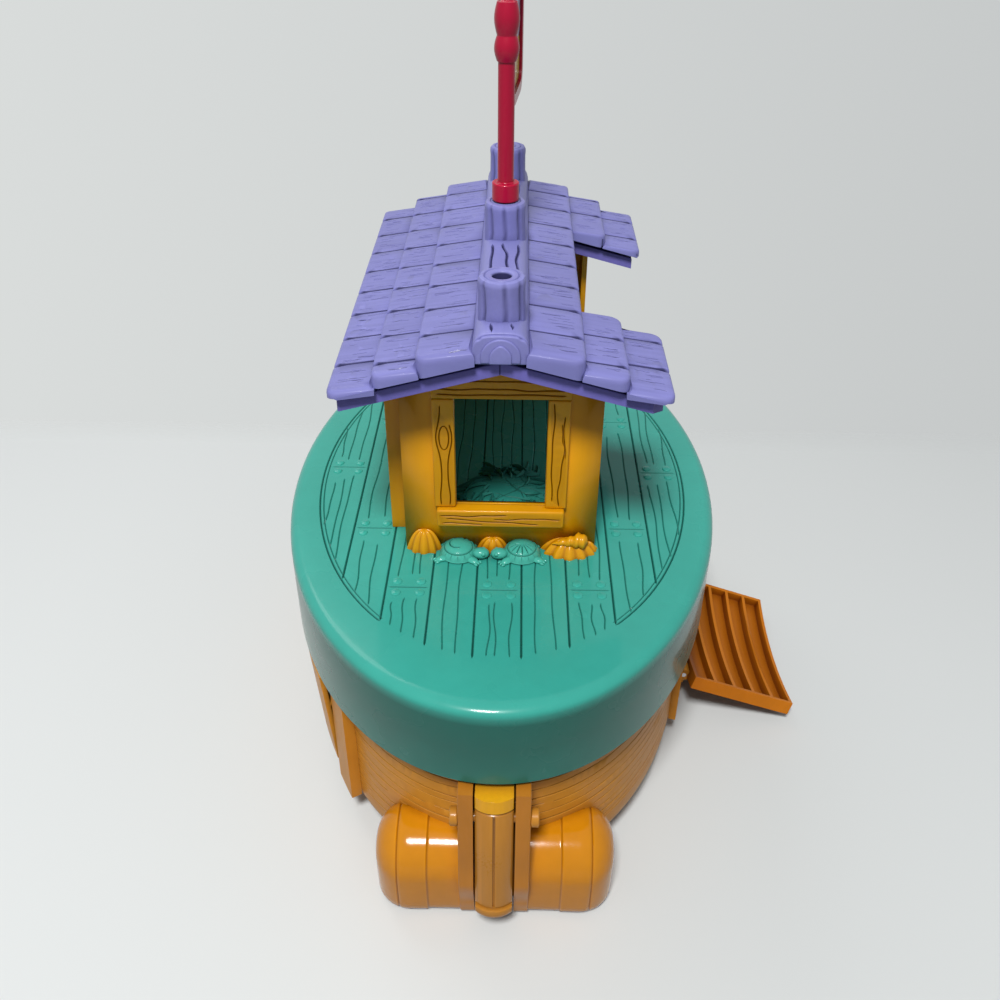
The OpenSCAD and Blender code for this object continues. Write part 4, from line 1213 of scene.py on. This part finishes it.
def add_shingle(form, index, side, a, b, ends):
    """One shingle from a to b along the roof. ends tells which of the two are ends of its course.

    On its surface u goes down the slope from the course's top, and v along the roof."""
    x0 = COURSE_X[index]
    long = COURSE_X[index + 1] - x0
    form.shade = rng.uniform(-1, 1)
    v0, v1 = sorted((a * side, b * side))
    end_a, end_b = ends if side > 0 else ends[::-1]
    outline = shingle_outline(SHINGLE_TOP, long, v0 + (0 if end_a else SHINGLE_GAP),
                              v1 - (0 if end_b else SHINGLE_GAP), end_a, end_b)
    lines = []
    for _ in range(max(1, round((v1 - v0 - 6) / 2.4))):
        v = rng.uniform(v0 + 2.6, v1 - 2.6)
        u = rng.uniform(0.5, long * 0.6)
        end = min(long - 3, u + rng.uniform(0.2, 0.6) * long)
        if end - u > 3:
            lines.append((wavy((u, v), (end, v + rng.uniform(-0.6, 0.6)), 0.3, 1, 7), *SHINGLE_GRAIN))
    rise = rng.uniform(-0.2, 0.0)
    # Painted shade: the edges along the seams between shingles are darkened.
    seam = np.array([float((v < v0 + 1 and not end_a) or (v > v1 - 1 and not end_b)) for u, v in outline])
    close = [END_ROUND * t for t in (0.2, 0.4, 0.65, 1.0)]
    down = np.linspace(1, long - 3, 6)
    more = [(u, v0 + d) for d in close for u in down] if end_a else []
    more += [(u, v1 - d) for d in close for u in down] if end_b else []

    def place(u, v, h):
        height = course_top(index, x0 + u) + (h + rise - end_sink(v * side))
        return np.column_stack([side * (x0 + u), v * side, height])

    def thick(u, v):
        under = course_top(index, x0 + u) - UNDER_Z + UNDER_SLOPE * (x0 + u)
        return under - SHINGLE_LIFT - end_sink(v * side)

    form.slab(outline, place, thick, SHINGLE_BEVEL, lines, SHINGLE_DROP, seam, 0.3, more)


def make_shingles():
    """Three courses on each slope, on a core painted dark, as painted shade, that shows in the seams."""
    form = Form()
    for side in (-1, 1):
        for index in range(3):
            spans = [(ROOF_Y0, ROOF_Y1)]
            if side > 0 and index:
                spans = [(ROOF_Y0, NOTCH_Y0), (NOTCH_Y1, ROOF_Y1)]
            seams = [FIRST_SEAM[index] + SHINGLE * k for k in range(9)]
            for low, high in spans:
                cuts = [low] + [y for y in seams if low + 5 < y < high - 5] + [high]
                for a, b in zip(cuts, cuts[1:]):
                    add_shingle(form, index, side, a, b, (a == low, b == high))
    form.shade = 0.0
    eave = COURSE_X[3] - CORE_IN
    full = [(0, UNDER_Z), (eave, UNDER_Z - UNDER_SLOPE * eave)]
    for index in (2, 1, 0):
        for x in (COURSE_X[index + 1] - CORE_IN, COURSE_X[index] - CORE_IN):
            full.append((x, course_top(index, x) - CORE_DOWN))
    full.append((0, APEX - CORE_DOWN))
    cut = NOTCH_X - 0.8
    short = [(0, UNDER_Z), (cut, UNDER_Z - UNDER_SLOPE * cut), (cut, course_top(0, cut) - CORE_DOWN),
             (0, APEX - CORE_DOWN)]
    for side in (-1, 1):
        ends = ROOF_Y0 + END_ROUND + 1, ROOF_Y1 - END_ROUND - 1
        for low, high, section in round_notch(side, *ends, 1, full, short):
            # The core's upper side is painted dark: painted shade in the seams.
            form.bar(side, section, low, high, [float(k > 1) for k in range(len(section))] * 2)
    form.piece("shingle_courses", PURPLE, "deck", "roof_purple", ("roof_shingles",), 34)


LIP_IN, LIP_GAP, NECK_IN, NECK_DOWN = 4.0, 2.2, 9.0, 3


def make_liner():
    """The lower lip of the roof, a plate on each slope, and the neck that carries it."""
    form = Form()
    x1, y0, y1 = ROOF_HALF - LIP_IN, ROOF_Y0 + LIP_IN, ROOF_Y1 - LIP_IN
    n0, n1 = NOTCH_Y0 - LIP_IN, NOTCH_Y1 + LIP_IN
    notched = np.array([(-0.5, y0), (x1 - 5, y0), (x1, y0 + 5), (x1, n0), (NOTCH_X, n0),
                        (NOTCH_X, n1), (x1, n1), (x1, y1 - 5), (x1 - 5, y1), (-0.5, y1)])
    for side, plate in ((-1, rounded(-0.5, x1, y0, y1, 0.6, 1)), (1, notched)):
        def place(u, v, h):
            return np.column_stack([side * u, v, UNDER_Z - LIP_GAP - UNDER_SLOPE * u + h])

        form.slab(plate, place, UNDER_Z - LIP_GAP - CEIL_Z, 0.6)
    for side in (-1, 1):
        ends = y0 + NECK_IN, y1 - NECK_IN
        for low, high, reach in round_notch(side, *ends, NECK_IN, x1 - NECK_IN, NOTCH_X - 5):
            fall = UNDER_SLOPE * reach
            section = [(0, UNDER_Z + 0.3), (reach, UNDER_Z + 0.3 - fall), (reach, UNDER_Z - NECK_DOWN - fall),
                       (0, UNDER_Z - NECK_DOWN)]
            form.bar(side, section, low, high)
    form.piece("roof_lip", LINER, "deck", "roof_purple", ("roof_liner",), 34)


LOG_R = COURSE_X[0] - 0.3
LOG_Y0, LOG_Y1 = ROOF_Y0 + 1.2, ROOF_Y1 - 1
LOG_BEND, LOG_FALL = 9.0, 0.22
LOG_FLAT = 0.62
BARK_T = 1.6
LOG_SPANS = ((LOG_Y0 + 1.7, -84.5), (-64, 9.5), (31.5, 104.5), (126.5, LOG_Y1 - 1.4))
LOG_NICKS = (-9.5, 9.0)


def log_section(steps=40):
    """The log's section from its left foot over the flat top to its right foot, with the normals."""
    r = LOG_R
    turn = np.radians(np.linspace(-90, 90, steps))
    over = np.column_stack([r * np.sign(np.sin(turn)) * np.abs(np.sin(turn)) ** LOG_FLAT,
                            LOG_Z + (r - 0.4) * np.abs(np.cos(turn)) ** LOG_FLAT])
    curve = np.concatenate([[(-r, LOG_Z - 3)], over, [(r, LOG_Z - 3)]])
    even = np.linspace(0, 1, 2 * steps)
    run = length_along(curve)
    curve = np.column_stack([np.interp(even * run[-1], run, curve[:, k]) for k in (0, 1)])
    along = np.gradient(curve, axis=0)
    along /= np.linalg.norm(along, axis=1)[:, None]
    return even * run[-1] - run[-1] / 2, curve, np.column_stack([-along[:, 1], along[:, 0]])


def fallen(z, share):
    """Heights over the log's middle, lowered by a share of their rise."""
    return np.where(z > LOG_Z, LOG_Z + (z - LOG_Z) * (1 - LOG_FALL * share), z)


def log_grooves():
    """Bark lines between the stumps: two or three on the top, and one low on each flank."""
    grooves = []
    for a, b in LOG_SPANS:
        long = b - a
        for v, sway in ((-6.2, 0.4), (0.6, 1.6), (6.6, 0.9)) if long > 30 else ((-4.6, 0.15), (4.4, 0.25)):
            start = (a + rng.uniform(0, 3), v + rng.uniform(-0.8, 0.8))
            end = (b - rng.uniform(0, 0.04) * long, v)
            grooves.append((wavy(start, end, sway, max(0.6, long / 52), int(long / 4) + 8), 1.7, 1.2))
        for v in (-14.5, 14.5):
            line = wavy((a + 1, v), (b - 1, v), 0.6, max(0.6, long / 60), int(long / 5) + 6)
            grooves.append((line, 1.1, 0.7))
    return grooves


def make_log():
    """The log's bark: u goes along the roof and v over the section."""
    form = Form()
    run, curve, normal = log_section()

    def place(u, v, h):
        x, z = (np.interp(v, run, curve[:, k]) + h * np.interp(v, run, normal[:, k]) for k in (0, 1))
        near = np.clip(1 - (u - LOG_Y0) / LOG_BEND, 0, 1)
        return np.column_stack([x, u, fallen(z, 1 - np.sqrt(1 - near ** 2))])

    across = np.linspace(-run[-1], run[-1], 45)
    along = np.concatenate([LOG_Y0 + np.array([1.6, 2.4, 3.4, 4.6, 6.0, 7.5]),
                            np.linspace(LOG_Y0 + LOG_BEND, LOG_Y1 - 1.2, 58)])
    extra = [(u, v) for u in along[1:-1] for v in across[1:-1]]
    form.sheet(border(along, across), place, log_grooves(), (), extra)
    form.piece("ridge_log_bark", LOG, "deck", "roof_purple", ("ridge_log",), 34, BARK_T)


def make_log_ends():
    """The sawn ends with their rings."""
    form = Form()
    run, curve, normal = log_section()
    r = COURSE_X[0]
    dents = [max(max(0.0, 1 - abs(spot - n) / 1.6) for n in LOG_NICKS) for spot in run]
    bark = np.array([c - n * (0.05 + 0.6 * d) for c, n, d in zip(curve, normal, dents)])[::-1]
    front = np.column_stack([bark[:, 0], fallen(bark[:, 1], 0.62)])
    foot = LOG_Z - 2
    wide = r * 0.68
    ring = np.concatenate([arc((0, LOG_Z + 0.5), wide, 0, 180, 28), [(-wide, foot), (wide, foot)]])
    heart = [(r * 0.38 * math.cos(a), LOG_Z + 0.5 + r * (0.42 + 0.06 * math.sin(a) ** 8) * math.sin(a))
             for a in np.radians(np.linspace(0, 180, 25))]
    heart = np.array(heart + [(-r * 0.38, foot), (r * 0.38, foot)])
    for shape, out in ((front, 0.0), (ring, 1.0), (heart, 2.0)):
        form.slab(shape, facing_front(LOG_Y0 - out), 2.4, 0.6)
    for shape, out in ((bark, 0.0), (ring, 0.5)):
        form.slab(shape, facing_back(LOG_Y1 + out), 2.2, 0.4)
    form.piece("ridge_log_ends", LOG, "deck", "roof_purple")


def make_stumps():
    """Three fluted stumps, two of them bored for the pole. Radii are given with the way down from the top."""
    form = Form()
    top, r = LOG_TOP, STUMP_R
    rim = [(r - 0.4, 5), (r - 0.2, 2.6), (r - 0.3, 1.4), (r - 0.9, 0.4), (r - 1.9, 0),
           (7.9, 0), (7.4, 0.5), (6.9, 0)]
    bore = [(5.0, 0), (4.4, 0.4), (4.1, 1.2), (4.1, 13.8), (0.05, 13.9)]
    whole = [(4.9, 0), (4.4, 0.5), (3.9, 0), (2.2, 0), (1.8, 0.4), (1.4, 0), (0.05, 0)]
    for y, core in zip(STUMP_Y, (bore, bore, whole)):
        flutes = [TURN * (i + 0.28) / 7 + rng.uniform(-0.16, 0.16) for i in range(7)]

        def bark(radius, z, turn):
            if radius < r - 1.9:
                return np.full(len(turn), radius)
            cut = np.zeros(len(turn))
            for spot in flutes:
                away = np.abs((turn - spot - 0.05 * math.sin(z * 0.3) + math.pi) % TURN - math.pi)
                cut = np.maximum(cut, np.clip(1 - away / 0.16, 0, 1))
            return radius - 0.9 * cut * np.clip((top - z) / 3, 0.35, 1)

        profile = [(r - 0.1, LOG_Z + 3), (r - 0.1, LOG_Z + 10), (r - 0.3, LOG_Z + 15)]
        profile += [(radius, top - down) for radius, down in rim + core]
        # The bores are painted dark: painted shade inside them.
        form.lathe(profile, (0, y), 120, bark, lambda radius, z: float(z < top - 1 and radius < 4.3))
    form.piece("ridge_log_stumps", LOG, "deck", "roof_purple", (), 36)


# Flag: two plain fields on each side of the panel

STICKER_IN, STICKER_UP, STICKER_T, STICKER_ROUND, BAND_AT = 0.6, 0.25, 0.3, 5.0, 0.46


def make_stickers():
    v0, v1 = (corner[2] for corner in box_mm("flag_panel"))
    turn = math.radians(FLAG_ANGLE)
    pole = np.array([0.0, STUMP_Y[1]])
    along = np.array([math.sin(turn), math.cos(turn)])
    across = np.array([math.cos(turn), -math.sin(turn)])
    u0, u1 = POLE_R - 1 + FLAG_RIM, FLAG_LONG - FLAG_RIM
    band = v0 + (v1 - v0) * BAND_AT
    for side, name in ((-1, "left"), (1, "right")):
        def place(u, v, h):
            base = pole + np.outer(u, along) + np.outer(side * (FLAG_HALF_T + STICKER_UP + h), across)
            return np.column_stack([base, v])

        for part, material, low, high in (("lower", SUN, v0 + STICKER_IN, band),
                                          ("upper", STICKER, band, v1 - STICKER_IN)):
            form = Form()
            field = rounded(u0 + STICKER_IN, u1 - STICKER_IN, low, high, STICKER_ROUND, 5)
            form.slab(field, place, STICKER_T, 0.1)
            form.piece("flag_sticker_" + part + "_" + name, material, "flag", "flag_red")


make_deck()
make_hull()
make_barrels()
make_bracket()
make_window()
make_walls()
make_turtle("turtle_left", -21, 1, True)
make_turtle("turtle_right", 11, -1, False)
make_shells()
make_straw()
make_shingles()
make_liner()
make_log()
make_log_ends()
make_stumps()
make_stickers()

# CAD pieces that are shown with rounded edges: material, body, slot and the width of the rounding
for node, material, body, slot, width in (
        ("left_door_frame", POST, "hull", "hull_tan", 0.7),
        ("right_door_frame", POST, "hull", "hull_tan", 0.7),
        ("latch_pin", LEVER, "hull", "hull_tan", 0.6),
        ("bow_bracket", LEVER, "hull", "hull_tan", 0.7), ("deck_hinge_pin", LEVER, "hull", "hull_tan", 0.6),
        ("latch_lever", TILT, "latch", "hull_tan", 0.6), ("latch_hook", LEVER, "latch", "hull_tan", 0.3),
        ("ramp_leaf", RAMP, "ramp", "hull_tan", 0.6), ("side_leaf", TAN, "side", "hull_tan", 0.6),
        ("flag_pole", RED, "flag", "flag_red", 0.6),
        ("flag_frame", RED, "flag", "flag_red", 0.9), ("flag_panel", RED, "flag", "flag_red", 0.2)):
    made = softened(node, material, body, slot, width)
    # The ramp's pocket floors are painted dark: painted shade.
    if node == "ramp_leaf":
        mark_hollows(made)
for node in ("left_hinge_rod", "right_hinge_rod", "latch_spring"):
    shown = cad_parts[node]
    shown.data.materials.clear()
    shown.data.materials.append(STEEL)


# Stage, light and camera, with lengths in metres

# The floor and the backdrop are paler on the left, where the light comes from: painted light.
FLOOR_LEFT, FLOOR_RIGHT, FLOOR_THROW = colour(230, 233, 232), colour(218, 221, 220), colour(120, 120, 120)
WALL_LEFT, WALL_RIGHT = colour(217, 220, 219), colour(197, 200, 200)
FLOOR_REACH = 1.6
FLOOR_TURNS, WALL_TURNS = (-0.3, 0.4), (-0.45, 0.5)
FADE_BACK, FADE_ROUND = (0.25, 0.285), (0.7, 1.4)
# name, place, target, size and power
LIGHTS = (("key", (-0.22, -1.4, 2.36), (0, 0, 0.15), 0.56, 58),
          ("back", (-0.9, 1.2, 2.0), (0, 0, 0.2), 1.0, 7))
SKY = 0.24
SKY_TINT = (0.95, 0.97, 1.0)
CAMERA_AT = (6.4225, -473.8082, 455.6197)
CAMERA_YAW, CAMERA_PITCH, CAMERA_ROLL = -0.0165, 0.6147, 0.0066
LENS, SENSOR = 36, 36


def looked_at(tree):
    """1 where the camera, a gloss or glass looks at a surface, and 0 for the light that it throws."""
    path = tree.nodes.new("ShaderNodeLightPath")
    seen = math_node(tree, "MAXIMUM", path.outputs["Is Camera Ray"], path.outputs["Is Glossy Ray"])
    return math_node(tree, "MAXIMUM", seen, path.outputs["Is Transmission Ray"])


def make_floor():
    """A pale sheet, painted paler on the left as painted light, that fades into the backdrop, darker for the
    light that it throws back at the toy.
    """
    mesh = bpy.data.meshes.new("floor")
    far = FLOOR_REACH
    mesh.from_pydata([(-far, -far, 0), (far, -far, 0), (far, far, 0), (-far, far, 0)], [], [(0, 1, 2, 3)])
    floor = bpy.data.objects.new("floor", mesh)
    bpy.context.scene.collection.objects.link(floor)
    paper = bpy.data.materials.new("paper")
    paper.use_nodes = True
    tree = paper.node_tree
    shader = tree.nodes["Principled BSDF"]
    shader.inputs["Roughness"].default_value = 0.9
    shader.inputs["Specular IOR Level"].default_value = 0.1
    place = tree.nodes.new("ShaderNodeTexCoord").outputs["Object"]
    # Painted light: the floor is paler on the left.
    pale = mix(tree, ramp(tree, part_of(tree, place, "X"), *FLOOR_TURNS), FLOOR_LEFT, FLOOR_RIGHT)
    plug(tree, shader.inputs["Base Color"], mix(tree, looked_at(tree), FLOOR_THROW, pale))
    length = tree.nodes.new("ShaderNodeVectorMath")
    length.operation = "LENGTH"
    tree.links.new(place, length.inputs[0])
    fade = math_node(tree, "MAXIMUM", ramp(tree, part_of(tree, place, "Y"), *FADE_BACK),
                     ramp(tree, length.outputs["Value"], *FADE_ROUND))
    clear = tree.nodes.new("ShaderNodeBsdfTransparent")
    both = tree.nodes.new("ShaderNodeMixShader")
    tree.links.new(fade, both.inputs[0])
    tree.links.new(shader.outputs[0], both.inputs[1])
    tree.links.new(clear.outputs[0], both.inputs[2])
    tree.links.new(both.outputs[0], tree.nodes["Material Output"].inputs["Surface"])
    mesh.materials.append(paper)


def make_sky():
    """Soft light from all round, and a pale backdrop, painted paler on the left as painted light, where the
    camera sees past the floor.
    """
    sky = bpy.data.worlds.new("studio")
    sky.use_nodes = True
    tree = sky.node_tree
    back = tree.nodes["Background"]
    place = tree.nodes.new("ShaderNodeTexCoord").outputs["Generated"]
    # Painted light: the backdrop is paler on the left.
    wall = mix(tree, ramp(tree, part_of(tree, place, "X"), *WALL_TURNS), WALL_LEFT, WALL_RIGHT)
    soft = tuple(SKY * c for c in SKY_TINT) + (1.0,)
    plug(tree, back.inputs["Color"], mix(tree, looked_at(tree), soft, wall))
    back.inputs["Strength"].default_value = 1.0
    bpy.context.scene.world = sky


def make_light(name, place, target, size, power):
    data = bpy.data.lights.new(name, "AREA")
    data.shape = "DISK"
    data.size = size
    data.energy = power
    lamp = bpy.data.objects.new(name, data)
    lamp.location = place
    lamp.rotation_euler = (Vector(target) - Vector(place)).to_track_quat("-Z", "Y").to_euler()
    bpy.context.scene.collection.objects.link(lamp)


def make_camera():
    """The camera that was fitted to the photo. Its place is in millimetres, and its angles are in radians."""
    yaw, pitch, roll = CAMERA_YAW, CAMERA_PITCH, CAMERA_ROLL
    ahead = Vector((math.sin(yaw) * math.cos(pitch), math.cos(yaw) * math.cos(pitch), -math.sin(pitch)))
    right = Vector((math.cos(yaw), -math.sin(yaw), 0))
    down = ahead.cross(right)
    level_right = right * math.cos(roll) - down * math.sin(roll)
    level_down = right * math.sin(roll) + down * math.cos(roll)
    turn = Matrix((level_right, -level_down, -ahead)).transposed()
    data = bpy.data.cameras.new("camera")
    data.lens = LENS
    data.sensor_width = SENSOR
    data.clip_start = 0.01
    camera = bpy.data.objects.new("camera", data)
    camera.matrix_world = Matrix.Translation(Vector(CAMERA_AT) * MM) @ turn.to_4x4()
    bpy.context.scene.collection.objects.link(camera)
    bpy.context.scene.camera = camera


make_floor()
for light in LIGHTS:
    make_light(*light)
make_sky()
bpy.context.scene.view_settings.view_transform = "Standard"
make_camera()
